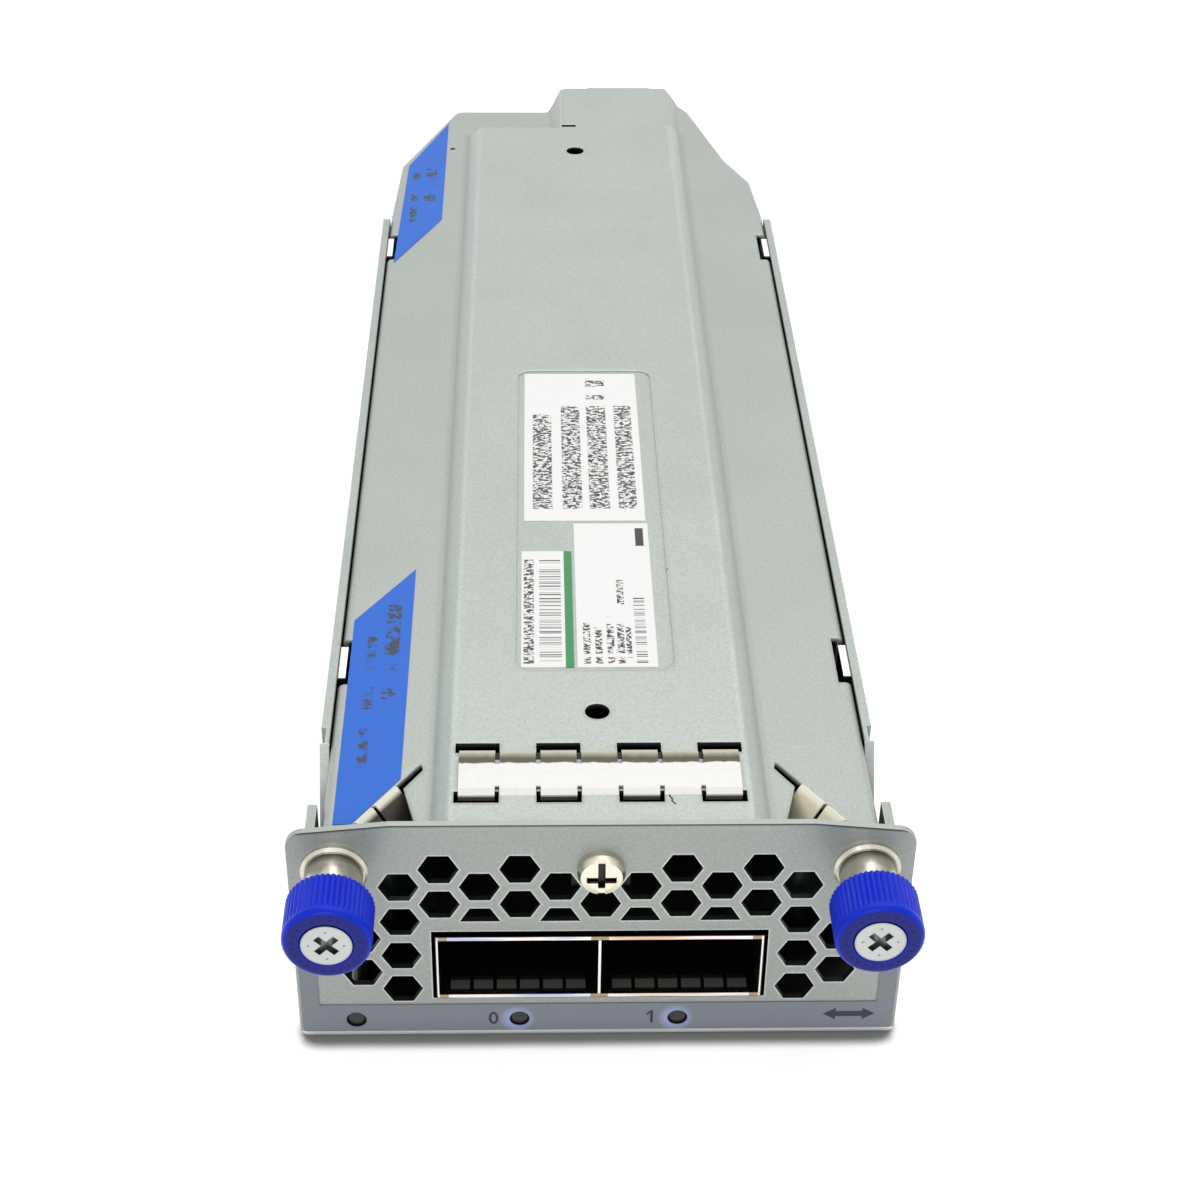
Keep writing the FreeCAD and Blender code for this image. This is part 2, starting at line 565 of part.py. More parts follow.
def top_cover():
    outer = raised("cover_outer", "0", "0", "0", COVER_LOW)
    corners = rounded("cover_corners", outer, "corner", lambda edge: upright(edge)
                      and edge.BoundBox.YMin > size("shoulder_y") + size("bend")
                      and edge.BoundBox.ZLength > size("skirt") - 1e-3)
    hem = block("cover_hem", ("hem_x - hem_half", "hem_x + hem_half"), ("tongue_y - corner", "tongue_y + hem_step"),
                (COVER_LOW, PLATEAU))
    whole = union("cover_whole", [corners, hem])
    edged = rounded("cover_edged", whole, "bend", lambda edge: level(edge, flange_top_now() + size("joggle"))
                    and edge.BoundBox.YMin > size("plateau_rear") + size("joggle")
                    and edge.BoundBox.XLength > size("bend")
                    and edge.BoundBox.YMin > size("tongue_y") + size("hem_step") - 1e-3)
    sided = rounded("cover_sided", edged, "bend", lambda edge: level(edge, flange_top_now())
                    and edge.BoundBox.YMax < size("shoulder_y") + 1e-3
                    and abs(abs(edge.BoundBox.Center.x) - cover_half_now()) < 1e-3)
    inner = raised("cover_inner", "sheet", SLOPE_SHARE, "sheet", f"{COVER_LOW} - sheet")
    top = f"{PLATEAU} + sheet"
    tools = [inner]
    front_gap = block("cover_mouth", ("-cover_half + sheet", "cover_half - sheet"), ("0", "2 * sheet + plate_thick"),
                      (f"{COVER_LOW} - sheet", "flange_top - sheet"))
    tools.append(front_gap)
    recess = block("label_recess", ("-recess_half", "recess_half"), ("recess_front", "recess_rear"),
                   (f"{PLATEAU} - recess_deep", top))
    tools.append(rounded("label_recess_round", recess, "corner", upright))
    tools.append(rod("front_hole", "Z", "front_hole_r", f"{PLATEAU} - 2 * sheet", top, y="front_hole_y"))
    tools.append(rod("rear_hole", "Z", "rear_hole_r", f"{PLATEAU} - 2 * sheet", top, y="rear_hole_y"))
    tools.append(block("relief", ("-relief_x", "-relief_x + relief_wide"), ("relief_y", "relief_y + relief_long"),
                       (f"{PLATEAU} - 3 * sheet", top)))
    for i, side in enumerate(("-", "")):
        tools += corner_cut(i, side)
        for j, middle in enumerate(("hook_front_y", "hook_rear_y")):
            tools.append(block(
                f"hook_window_{i}_{j}", span(side, "cover_half - window_deep", "cover_half + 1"),
                (f"{middle} - window_long / 2", f"{middle} + window_long / 2"), ("hook_low - 1", top),
            ))
        tools.append(block(f"skirt_gap_{i}", span(side, "cover_half - 1.5 * sheet", "cover_half + 1"), ("0", "rail_front"),
                           (f"{COVER_LOW} - 1", "flange_top - sheet")))
    tools += cover_slots()
    shell = less("cover_shell", sided, tools)
    tab = block("cover_tab", ("-tab_half", "tab_half"), ("plate_thick", "plate_thick + sheet"),
                ("tab_low", f"{PLATEAU} - sheet / 2"))
    thread = rod("tab_thread", "Y", "pan_shank", "0", "plate_thick + 2 * sheet", z="screw_level")
    node(less("top_cover", union("cover_tabbed", [shell, tab]), [thread]), "top_cover")


# Tray: the bent lower sheet. It laps over the face plate's lip, and its rear walls stand inside the
# cover's skirts.


def rear_wall(name, outer, inner):
    """The upright wall round the rear: the ring between two insets, behind the rails."""
    top = "flange_top - sheet - slip"
    solid = prism(name + "_out", "XY", cover_outline(outer), "0", top)
    hollow = prism(name + "_in", "XY", cover_outline(inner), "floor_thick", top + " + 1")
    front = block(name + "_front", ("-plate_width", "plate_width"), ("0", "rail_rear - rail_thick"),
                  ("-1", top + " + 2"))
    return less(name, solid, [hollow, front])


def base_tray():
    outer = "(sheet + slip)"
    floor = block("tray_floor", ("-rail_outer", "rail_outer"), ("lip_depth + slip", "rail_rear"), ("0", "floor_thick"))
    lap = block("tray_lap", ("-ear_outer", "ear_outer"), ("plate_thick", "lip_depth + slip + floor_thick"),
                ("plate_thick", "plate_thick + floor_thick"))
    pieces = [floor, lap, rear_wall("tray_wall", outer, f"{outer} + nose_wall")]
    for i, side in enumerate(("-", "")):
        rail = prism(f"tray_rail_{i}", "YZ", [
            ("rail_front", "0"), ("rail_rear", "0"), ("rail_rear", "rail_top"), ("rail_step", "rail_top"),
            ("rail_front", "rail_top - rail_dip"),
        ], *span(side, "rail_inner", "rail_outer"))
        notch = block(f"rail_notch_{i}", span(side, "rail_outer - rail_thick / 2", "rail_outer + 1"),
                      ("rail_step", "rail_full"), ("rail_top - rail_low", "rail_top + 1"))
        pieces.append(less(f"tray_side_{i}", rail, [notch]))
        pieces.append(block(f"tray_corner_{i}", span(side, f"cover_half - {outer} - nose_wall", "rail_outer"),
                            ("rail_rear - rail_thick", "rail_rear"), ("0", "rail_low")))
        ear = block(f"tray_ear_{i}", span(side, "ear_outer - ear_thick", "ear_outer"), ("plate_thick", "ear_rear"),
                    ("plate_thick", "ear_top"))
        pieces.append(ear)
        for j, middle in enumerate(("hook_front_y", "hook_rear_y")):
            pieces.append(block(f"tray_hook_{i}_{j}", span(side, "rail_inner - hook_thick", "rail_inner"),
                                (f"{middle} - hook_long / 2", f"{middle} + hook_long / 2"), ("hook_low", "rail_top")))
    plug_gap = block("plug_gap", ("plug_low_x - opening_gap", "plug_high_x + opening_gap"),
                     ("tongue_y - 3", "tongue_y + 3"),
                     (f"{BOARD_TOP} - board_thick", f"{BOARD_TOP} + plug_high + opening_gap"))
    guide_gap = block("guide_gap", ("-guide_x - guide_half - opening_gap", "-guide_x + guide_half + opening_gap"),
                      ("rear_left_y - 3", "rear_left_y + 3"),
                      (f"{BOARD_TOP} - board_thick", f"{BOARD_TOP} + 2 * guide_half + opening_gap"))
    node(less("base_tray", union("tray_whole", pieces), [plug_gap, guide_gap]), "base_tray")


# Port cage: thin sheet folded round two bays, standing on the board.


def port_cage():
    outer = block("cage_outer", ("-cage_half", "cage_half"), ("-cage_out", "cage_rear"), ("cage_low", "cage_high"))
    tools = []
    fingers = []
    for i, side in enumerate(("-", "")):
        tools.append(block(f"bay_{i}", span(side, "cage_sheet / 2", "cage_half - cage_sheet"),
                           ("-cage_out + cage_hem_long", "cage_rear - cage_sheet"),
                           ("cage_low + cage_sheet", "cage_high - cage_sheet")))
        tools.append(block(f"bay_mouth_{i}", span(side, "cage_sheet / 2", "cage_half - cage_sheet"),
                           ("-cage_out - 1", "-cage_out + cage_hem_long + 1"),
                           ("cage_low + cage_sheet + cage_hem", "cage_high - cage_sheet - cage_hem")))
        tools.append(block(f"bay_floor_{i}", span(side, "cage_sheet / 2", "cage_half - cage_sheet"),
                           ("socket_front - 1", "cage_rear - cage_sheet"), ("cage_low - 1", "cage_high / 2")))
        for j in range(6):
            middle = f"{side}(cage_half / 2 + ({j} - 2.5) * cage_finger_pitch)"
            start = "(cage_hem_long + 0.2)"
            top = "cage_low + cage_sheet"
            fingers.append(prism(f"cage_finger_{i}_{j}", "YZ", [
                (start, f"{top} - cage_sheet / 2"),
                (f"{start} + cage_finger_long", f"{top} - cage_sheet / 2"),
                (f"{start} + cage_finger_long", top),
                (f"{start} + cage_finger_long / 2", f"{top} + cage_finger_high"),
                (start, top),
            ], f"{middle} - cage_finger / 2", f"{middle} + cage_finger / 2"))
    shell = less("cage_shell", outer, tools)
    node(union("port_cage", [shell] + fingers), "port_cage")


def port_socket(i, side, name):
    """The board connector at the back of a bay, with the slot that takes a plug's edge."""
    body = block(f"socket_body_{i}", span(side, "socket_side", "cage_half - socket_side"),
                 ("socket_front", "socket_rear"), (BOARD_TOP, f"{BOARD_TOP} + socket_high"))
    slot = block(f"socket_slot_{i}", span(side, "2 * socket_side", "cage_half - 2 * socket_side"),
                 ("socket_front - 1", "socket_front + socket_slot_deep"),
                 (f"{BOARD_TOP} + (socket_high - socket_slot) / 2", f"{BOARD_TOP} + (socket_high + socket_slot) / 2"))
    node(less(f"socket_{i}", body, [slot]), name)


# Gasket strip: a row of foil fingers along the cover's front. Every other one hooks into the slots.


def gasket_strip():
    low, high = "gasket_front", "gasket_rear"
    arch = (("0", "0"), ("0.09", "0.5"), ("0.35", "0.85"), ("0.6", "1"), ("0.79", "0.85"), ("0.95", "0.4"), ("1", "0"))
    upper = []
    lower = []
    for share, rise in arch:
        upper.append((f"{low} + ({high} - {low}) * {share}", f"{PLATEAU} + gasket_crest * {rise}"))
        inward = "(1 - 2 * " + share + ")"
        drop = "0" if rise == "0" else "gasket_foil"
        lower.insert(0, (f"{low} + ({high} - {low}) * {share} + gasket_foil * {inward}",
                         f"{PLATEAU} + gasket_crest * {rise} - {drop}"))
    half = "(3.5 * finger_pitch - finger_slit / 2)"
    band = prism("gasket_band", "YZ", upper + lower, f"-{half}", half)
    tools = []
    for i in range(6):
        place = f"({i} - 2.5) * finger_pitch"
        ends = (f"{place} - finger_slit / 2", f"{place} + finger_slit / 2")
        tools.append(block(f"gasket_slit_{i}", ends, (f"({low} + {high}) / 2 + finger_slit", f"{high} + 1"),
                           (f"{PLATEAU} - 1", f"{PLATEAU} + 2")))
        tools.append(block(f"gasket_nick_{i}", ends, (f"{low} - 1", f"{low} + 2 * finger_slit"),
                           (f"{PLATEAU} - 1", f"{PLATEAU} + 2")))
    pieces = [less("gasket_fingers", band, tools)]
    for i, place in enumerate((-3, -1, 1, 3)):
        ends = (f"{place} * finger_pitch - (finger_pitch - finger_slit) / 2",
                f"{place} * finger_pitch + (finger_pitch - finger_slit) / 2")
        for j, start in enumerate((low, f"{high} - gasket_foil")):
            pieces.append(block(f"gasket_hook_{i}_{j}", ends, (start, f"{start} + gasket_foil"),
                                (f"{PLATEAU} - sheet", PLATEAU)))
    node(union("gasket_strip", pieces), "gasket_strip")


# Corner clips: two spring fingers each, folded up through the slanted slot and down behind the plate.


def corner_clip(i, side, name):
    low = "(flange_top - sheet)"
    bend = "(clip_foil + clip_ease)"
    tip = "(flange_top - clip_drop)"
    profile = [
        ("-clip_root", low), ("-clip_root", f"{low} - clip_foil"), (bend, f"{low} - clip_foil"),
        (bend, "flange_top + clip_ease"), (f"{bend} + clip_foil", "flange_top + 3 * clip_ease"),
        ("clip_reach", f"{tip} + clip_curl"), ("clip_reach", tip), ("clip_reach + clip_foil", tip),
        ("clip_reach + clip_foil", f"{tip} + clip_curl + clip_foil / 2"),
        (f"{bend} + clip_foil + clip_ease", "flange_top + 2 * clip_foil"), ("clip_ease", "flange_top + clip_foil"),
        ("clip_ease", low),
    ]
    first = ("clip_start", "clip_start + clip_wide")
    second = (f"{first[1]} + clip_slit", f"{first[1]} + clip_slit + clip_second")
    turn = "atan((diag_out_x - diag_in_x) / (diag_in_y - diag_out_y))"
    pieces = []
    for j, (start, end) in enumerate((first, second)):
        ends = (f"-({end})", f"-({start})") if side == "-" else (start, end)
        pieces.append(prism(f"clip_finger_{i}_{j}", "XZ", profile, *ends))
    ends = (f"-({second[1]})", f"-({first[0]})") if side == "-" else (first[0], second[1])
    pieces.append(block(f"clip_bar_{i}", ("-clip_root", "clip_ease"), ends, (f"{low} - clip_foil", low)))
    clip = union(f"clip_{i}", pieces)
    clip.Placement.Rotation = FreeCAD.Rotation(FreeCAD.Vector(0, 0, 1), 30)
    bind(clip, "Placement.Rotation.Angle", f"-{turn}" if side == "-" else f"{turn} - 180 deg")
    moved = group(name, [clip])
    put(clip, f"{side}diag_in_x", "diag_in_y", "0")
    node(moved, name)


# Thumbscrews: a collar riveted in the face plate holds a spring-loaded knob and screw.

AXIS = "screw_level"


def collar(i, side, name):
    y_in = "pilot_in"
    shape = turned(f"collar_{i}", [
        ("thread_r + running", "-barrel_floor"), ("thread_r + running", y_in), ("pilot_r", y_in), ("pilot_r", "0"),
        ("collar_r", "0"), ("collar_r", "-collar_high + collar_round"), ("collar_r - collar_round", "-collar_high"),
        ("barrel_r", "-collar_high"), ("barrel_r", "-barrel_out"), ("barrel_r - barrel_wall", "-barrel_out"),
        ("barrel_r - barrel_wall", "-barrel_floor"),
    ])
    node(shape, name, f"{side}thumb_x", AXIS)


def knob(i, side, name):
    face = "-knob_out"
    seat = f"{face} + head_high + head_gap"
    shape = turned(f"knob_{i}", [
        ("shank_r", seat), ("shank_r", "-knob_floor"), ("knob_hollow", "-knob_floor"), ("knob_hollow", "-knob_in"),
        ("knob_r", "-knob_in"), ("knob_r", f"{face} + knob_round"),
        ("knob_r - knob_round * 0.3", f"{face} + knob_round * 0.3"), ("knob_r - knob_round", face),
        ("head_r + head_gap", face), ("head_r + head_gap", seat),
    ])
    ribs = body_sketch(shape, f"knob_{i}_rib", "XZ_Plane", "knob_in")
    circle(ribs, "knob_r", "rib_r")
    groove = pocket(shape, f"knob_{i}_groove", ribs, "rib_end - knob_in")
    around(shape, f"knob_{i}_grooves", groove, ribs, "rib_count")
    dots = body_sketch(shape, f"knob_{i}_dot", "XZ_Plane", "knob_out")
    circle(dots, "dimple_ring", "dimple_r")
    dimple = pocket(shape, f"knob_{i}_dimple", dots, "dimple_deep")
    around(shape, f"knob_{i}_dimples", dimple, dots, "dimple_count")
    node(shape, name, f"{side}thumb_x", AXIS)


def thumb_screw(i, side, name):
    face = "-knob_out"
    shape = turned(f"screw_{i}", [
        ("0", face), ("head_r", face), ("head_r", f"{face} + head_high + head_gap"),
        ("shank_r", f"{face} + head_high + head_gap"), ("shank_r", "thread_start"), ("thread_r", "thread_start + 0.2"),
        ("thread_r", "thread_end - 0.5"), ("thread_r - 0.5", "thread_end"), ("0", "thread_end"),
    ])
    drive = body_sketch(shape, f"screw_{i}_drive", "XZ_Plane", "knob_out", 45)
    draw(drive, cross("drive_arm", "drive_half"))
    pocket(shape, f"screw_{i}_recess", drive, "drive_deep")
    marks = body_sketch(shape, f"screw_{i}_mark", "XZ_Plane", "knob_out")
    circle(marks, "mark_ring", "mark_r")
    mark = pocket(shape, f"screw_{i}_dot", marks, "mark_deep")
    around(shape, f"screw_{i}_dots", mark, marks, "4")
    node(shape, name, f"{side}thumb_x", AXIS)


def screw_washer(i, side, name):
    start = "(pilot_in + running)"
    shape = turned(f"washer_{i}", [
        ("shank_r + running", start), ("washer_r", start), ("washer_r", f"{start} + washer_thick"),
        ("shank_r + running", f"{start} + washer_thick"),
    ])
    node(shape, name, f"{side}thumb_x", AXIS)


# The spring wire is swept with this many flats, so that its mesh stays light.
WIRE_SIDES = 10


def thumb_spring(i, side, name):
    """A coil of wire swept along a helix, from the collar's floor to the knob's."""
    wire = size("spring_wire")
    start = -size("knob_floor") + wire / 2 + 0.01
    length = size("knob_floor") - size("barrel_floor") - wire - 0.02
    helix = Part.makeHelix(length / size("spring_turns"), length, size("spring_r"))
    turn = 2 * math.pi / WIRE_SIDES
    corners = [FreeCAD.Vector(size("spring_r") + wire / 2 * math.cos(turn * side), 0, wire / 2 * math.sin(turn * side))
               for side in range(WIRE_SIDES)]
    section = Part.makePolygon(corners + corners[:1])
    coil = Part.Wire(helix.Edges).makePipeShell([Part.Wire(section)], True, True)
    coil.rotate(FreeCAD.Vector(), FreeCAD.Vector(1, 0, 0), -90)
    coil.translate(FreeCAD.Vector(0, start, 0))
    item = doc.addObject("Part::Feature", f"spring_{i}")
    item.Shape = coil
    node(item, name, f"{side}thumb_x", AXIS)


def middle_screw():
    shape = turned("middle_screw", [
        ("0", "-pan_high"), ("pan_r - pan_round", "-pan_high"),
        ("pan_r - 0.3 * pan_round", "-pan_high + 0.3 * pan_round"), ("pan_r", "-pan_high + pan_round"),
        ("pan_r", "0"), ("pan_shank", "0"), ("pan_shank", "pan_end - 0.4"), ("pan_shank - 0.4", "pan_end"),
        ("0", "pan_end"),
    ])
    drive = body_sketch(shape, "middle_screw_drive", "XZ_Plane", "pan_high")
    draw(drive, cross("pan_arm", "pan_half"))
    pocket(shape, "middle_screw_recess", drive, "pan_deep")
    slot = body_sketch(shape, "middle_screw_slot", "XZ_Plane", "pan_high")
    draw(slot, [("-pan_slot_half", "-2 * pan_r"), ("pan_slot_half", "-2 * pan_r"),
                ("pan_slot_half", "2 * pan_r"), ("-pan_slot_half", "2 * pan_r")])
    pocket(shape, "middle_screw_groove", slot, "pan_slot_deep")
    node(shape, "middle_screw", "0", AXIS)


# Light pipes: clear rods behind the face plate's small holes, each with a foot under the board.


def light_pipe(i, x, name):
    pipe = rod(f"pipe_rod_{i}", "Y", "pipe_r", "pipe_start", "pipe_rear", x, z="light_level")
    foot = block(f"pipe_foot_{i}", (f"{x} - pipe_r", f"{x} + pipe_r"), ("pipe_rear - pipe_foot", "pipe_rear"),
                 ("light_level", BOARD_LOW))
    node(union(f"pipe_{i}", [pipe, foot]), name)


# The board, what stands on it, and what carries it.


def board_outline():
    rear = [(x, f"({y}) - board_inset / 3") for x, y in cover_outline("board_inset")[2:-2]]
    return rear + [
        ("board_half", "shoulder_y"), ("board_half", "board_front"), ("board_tongue_half", "board_front"),
        ("board_tongue_half", "board_tongue_front"), ("-board_tongue_half", "board_tongue_front"),
        ("-board_tongue_half", "board_front"), ("-board_half", "board_front"), ("-board_half", "shoulder_y"),
    ]


def pillar_places():
    return [(f"{side}pillar_x", y) for side in ("-", "") for y in ("pillar_front", "pillar_rear")]


def main_board():
    blank = prism("board_blank", "XY", board_outline(), BOARD_LOW, BOARD_TOP)
    holes = [rod(f"board_hole_{i}", "Z", "stud_r", f"{BOARD_LOW} - 1", f"{BOARD_TOP} + 1", x, y)
             for i, (x, y) in enumerate(pillar_places())]
    node(less("board", blank, holes), "main_board")


def board_pillars():
    pillars = []
    for i, (x, y) in enumerate(pillar_places()):
        post = rod(f"pillar_{i}", "Z", "pillar_r", "floor_thick", BOARD_LOW, x, y)
        hole = rod(f"pillar_hole_{i}", "Z", "stud_r", "floor_thick + 0.5", f"{BOARD_LOW} + 1", x, y)
        pillars.append(less(f"pillar_bored_{i}", post, [hole]))
    node(group("pillars", pillars), "board_pillars")


def board_screws():
    screws = []
    for i, (x, y) in enumerate(pillar_places()):
        head = rod(f"stud_head_{i}", "Z", "stud_head_r", BOARD_TOP, f"{BOARD_TOP} + stud_head", x, y)
        shank = rod(f"stud_{i}", "Z", "stud_r", "floor_thick + 1", BOARD_TOP, x, y)
        slot = block(f"stud_slot_{i}", (f"{x} - 0.3", f"{x} + 0.3"), (f"{y} - stud_head_r", f"{y} + stud_head_r"),
                     (f"{BOARD_TOP} + stud_head / 2", f"{BOARD_TOP} + stud_head + 1"))
        screws.append(less(f"stud_screw_{i}", union(f"stud_whole_{i}", [head, shank]), [slot]))
    node(group("studs", screws), "board_screws")


def stood(name, x, y, wide, long, low, high):
    """A block centred on x and y, from a low to a high level."""
    across = (f"({x}) - ({wide}) / 2", f"({x}) + ({wide}) / 2")
    along = (f"({y}) - ({long}) / 2", f"({y}) + ({long}) / 2")
    return block(name, across, along, (low, high))


def processor_stack():
    chip_top = f"{BOARD_TOP} + chip_high"
    pad_top = f"{chip_top} + pad_high"
    node(stood("processor", "0", "chip_y", "chip_side", "chip_side", BOARD_TOP, chip_top), "encryption_processor")
    node(stood("pad", "0", "chip_y", "chip_side", "chip_side", chip_top, pad_top), "thermal_pad")
    base = stood("sink_base_plate", "0", "chip_y", "sink_side", "sink_side", pad_top, f"{pad_top} + sink_base")
    fins = [base]
    count = int(size("sink_fins"))
    for i in range(count):
        x = f"({i} / (sink_fins - 1) - 0.5) * (sink_side - fin_thick)"
        fins.append(stood(f"sink_fin_{i}", x, "chip_y", "fin_thick", "sink_side", pad_top, "sink_top"))
    node(union("sink", fins), "processor_heatsink")


def board_parts():
    def on_board(name, x, y, wide, long, high):
        return stood(name, x, y, wide, long, BOARD_TOP, f"{BOARD_TOP} + {high}")

    chips = [on_board(f"memory_{i}", f"{side}(sink_side / 2 + memory_gap + memory_wide / 2)", f"chip_y + {row} * 1.3 * memory_long",
                      "memory_wide", "memory_long", "memory_high")
             for i, (side, row) in enumerate((side, row) for side in ("-", "") for row in (-1, 0, 1))]
    node(group("memory", chips), "memory_chips")
    chokes = [on_board(f"choke_{i}", f"{x} * 1.4 * choke_side", "chip_y + sink_side / 2 + 1.4 * choke_side",
                       "choke_side", "choke_side", "choke_high") for i, x in enumerate((-1, 0, 1))]
    node(group("chokes", chokes), "power_chokes")
    cans = [rod(f"capacitor_{i}", "Z", "cap_r", BOARD_TOP, f"{BOARD_TOP} + cap_high", f"{x} * 2.6 * cap_r",
                "chip_y + sink_side / 2 + 3 * choke_side") for i, x in enumerate((-1.5, -0.5, 0.5, 1.5))]
    node(group("cans", cans), "capacitors")
    node(on_board("crystal", "0", "(cage_rear + chip_y - sink_side / 2) / 2", "crystal_wide", "crystal_long",
                  "crystal_high"), "oscillator")


def rear_connectors():
    rear = "(tongue_y - opening_gap)"
    plug = block("plug_body", ("plug_low_x", "plug_high_x"), ("plug_front", rear), (BOARD_TOP, f"{BOARD_TOP} + plug_high"))
    mouth = block("plug_mouth", ("plug_low_x + plug_wall", "plug_high_x - plug_wall"), (f"{rear} - plug_mouth", f"{rear} + 1"),
                  (f"{BOARD_TOP} + plug_wall", f"{BOARD_TOP} + plug_high - plug_wall"))
    node(less("plug", plug, [mouth]), "backplane_connector")
    rear = "(rear_left_y - opening_gap)"
    guide = stood("guide_body", "-guide_x", f"(guide_front + {rear}) / 2", "(2 * guide_half)", f"({rear} - guide_front)",
                  BOARD_TOP, f"{BOARD_TOP} + 2 * guide_half")
    bore = rod("guide_hole", "Y", "guide_bore", f"{rear} - guide_deep", f"{rear} + 1", "-guide_x",
               z=f"{BOARD_TOP} + guide_half")
    node(less("guide", guide, [bore]), "guide_socket")


# Labels: thin film in the cover's recess, and two stickers on its left flange.


def labels():
    low = f"{PLATEAU} - recess_deep"
    levels = (low, f"{low} + label_thick")
    rear = "recess_rear - label_margin"
    split = "warning_front - label_margin"
    front = "recess_front + label_margin"
    node(block("warning_film", ("-warning_left", "warning_right"), ("warning_front", rear), levels), "warning_label")
    node(block("rating_film", ("-rating_left", "rating_right"), (front, split), levels), "rating_label")
    node(block("serial_film", ("-recess_half + label_margin", "-serial_right"), (front, "serial_rear"), levels),
         "serial_label")
    levels = ("flange_top", "flange_top + label_thick")
    node(prism("front_sticker", "XY", [
        ("-blue_in_x", "blue_end_y"), ("-blue_out_x", "blue_mid_y"), ("-blue_out_x", "blue_front_y"),
        ("-blue_step_x", "blue_front_y"), ("-blue_in_x", "blue_front_in_y"),
    ], *levels), "front_sticker")
    node(prism("rear_sticker", "XY", [
        ("-blue_in_x", "blue_rear_end"), ("-(blue_out_x - left_shoulder_in)", "blue_rear_mid"),
        ("-blue_out_x", "blue_rear_out"), ("-blue_in_x", "blue_rear_front"),
    ], *levels), "rear_sticker")


face_plate()
face_film()
top_cover()
base_tray()
port_cage()
gasket_strip()
labels()
main_board()
board_pillars()
board_screws()
processor_stack()
board_parts()
rear_connectors()
middle_screw()
for i, (side, word) in enumerate((("-", "left"), ("", "right"))):
    port_socket(i, side, f"port_socket_{word}")
    corner_clip(i, side, f"corner_clip_{word}")
    collar(i, side, f"thumbscrew_collar_{word}")
    knob(i, side, f"thumbscrew_knob_{word}")
    thumb_screw(i, side, f"thumbscrew_screw_{word}")
    screw_washer(i, side, f"thumbscrew_washer_{word}")
    thumb_spring(i, side, f"thumbscrew_spring_{word}")
for i, (x, word) in enumerate((("-status_light_x", "status"), ("-port_light_x", "port_0"), ("port_light_x", "port_1"))):
    light_pipe(i, x, f"light_pipe_{word}")

doc.recompute()
for item in doc.Objects:
    if "Invalid" in item.State or "Error" in item.State:
        raise RuntimeError(f"{item.Name} failed: {item.State}")
for name, item in nodes:
    if item.Shape.isNull() or not item.Shape.isValid():
        raise RuntimeError(f"{name} has no valid shape")
for name, item in nodes:
    item.Shape.exportStep(f"parts/{name}.step")
    print(name, len(item.Shape.Solids), round(item.Shape.Volume, 2))
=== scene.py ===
import math

import bmesh
import bpy
from mathutils import Matrix, Vector


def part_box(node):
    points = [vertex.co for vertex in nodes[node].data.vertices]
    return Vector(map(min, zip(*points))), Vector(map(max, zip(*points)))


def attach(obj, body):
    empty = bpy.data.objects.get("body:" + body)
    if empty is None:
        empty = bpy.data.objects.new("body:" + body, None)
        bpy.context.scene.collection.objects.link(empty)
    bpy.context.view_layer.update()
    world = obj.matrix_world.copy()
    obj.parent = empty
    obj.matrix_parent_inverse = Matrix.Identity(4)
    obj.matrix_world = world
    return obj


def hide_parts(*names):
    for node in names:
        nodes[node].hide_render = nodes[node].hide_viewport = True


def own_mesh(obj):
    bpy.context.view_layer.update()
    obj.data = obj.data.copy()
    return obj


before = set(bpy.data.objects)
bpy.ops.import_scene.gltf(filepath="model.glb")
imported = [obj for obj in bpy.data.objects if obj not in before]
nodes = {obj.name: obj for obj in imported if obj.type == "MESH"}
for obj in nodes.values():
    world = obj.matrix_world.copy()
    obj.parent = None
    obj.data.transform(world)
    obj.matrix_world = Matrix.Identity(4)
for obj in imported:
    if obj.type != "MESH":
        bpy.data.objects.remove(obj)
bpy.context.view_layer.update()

MM = 0.001
SOFT_EDGE = 0.03 * MM

# Places read from the frame
plate_low, plate_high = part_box("face_plate")
cover_low, cover_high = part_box("top_cover")
FACE_Y = plate_low.y
AXIS_LEFT = sum(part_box("thumbscrew_screw_left"), Vector()) / 2
AXIS_RIGHT = sum(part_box("thumbscrew_screw_right"), Vector()) / 2
PIPE_R = 1.1 * MM


def from_face(y_mm):
    """A y in metres from a distance in millimetres behind the plate's front."""
    return FACE_Y + y_mm * MM


def light_place(name):
    """The middle of a light pipe's front end, on the plate's front."""
    low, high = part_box(f"light_pipe_{name}")
    return (low.x + high.x) / 2, FACE_Y, low.z + PIPE_R


# Node materials


def linear(red, green, blue):
    """A colour as the eye reads it, 0 to 255, turned into the linear values that shaders use."""
    def channel(value):
        value = value / 255
        return value / 12.92 if value <= 0.04045 else ((value + 0.055) / 1.055) ** 2.4
    return (channel(red), channel(green), channel(blue), 1.0)


def shade(colour, factor):
    return tuple(min(1.0, channel * factor) for channel in colour[:3]) + (1.0,)


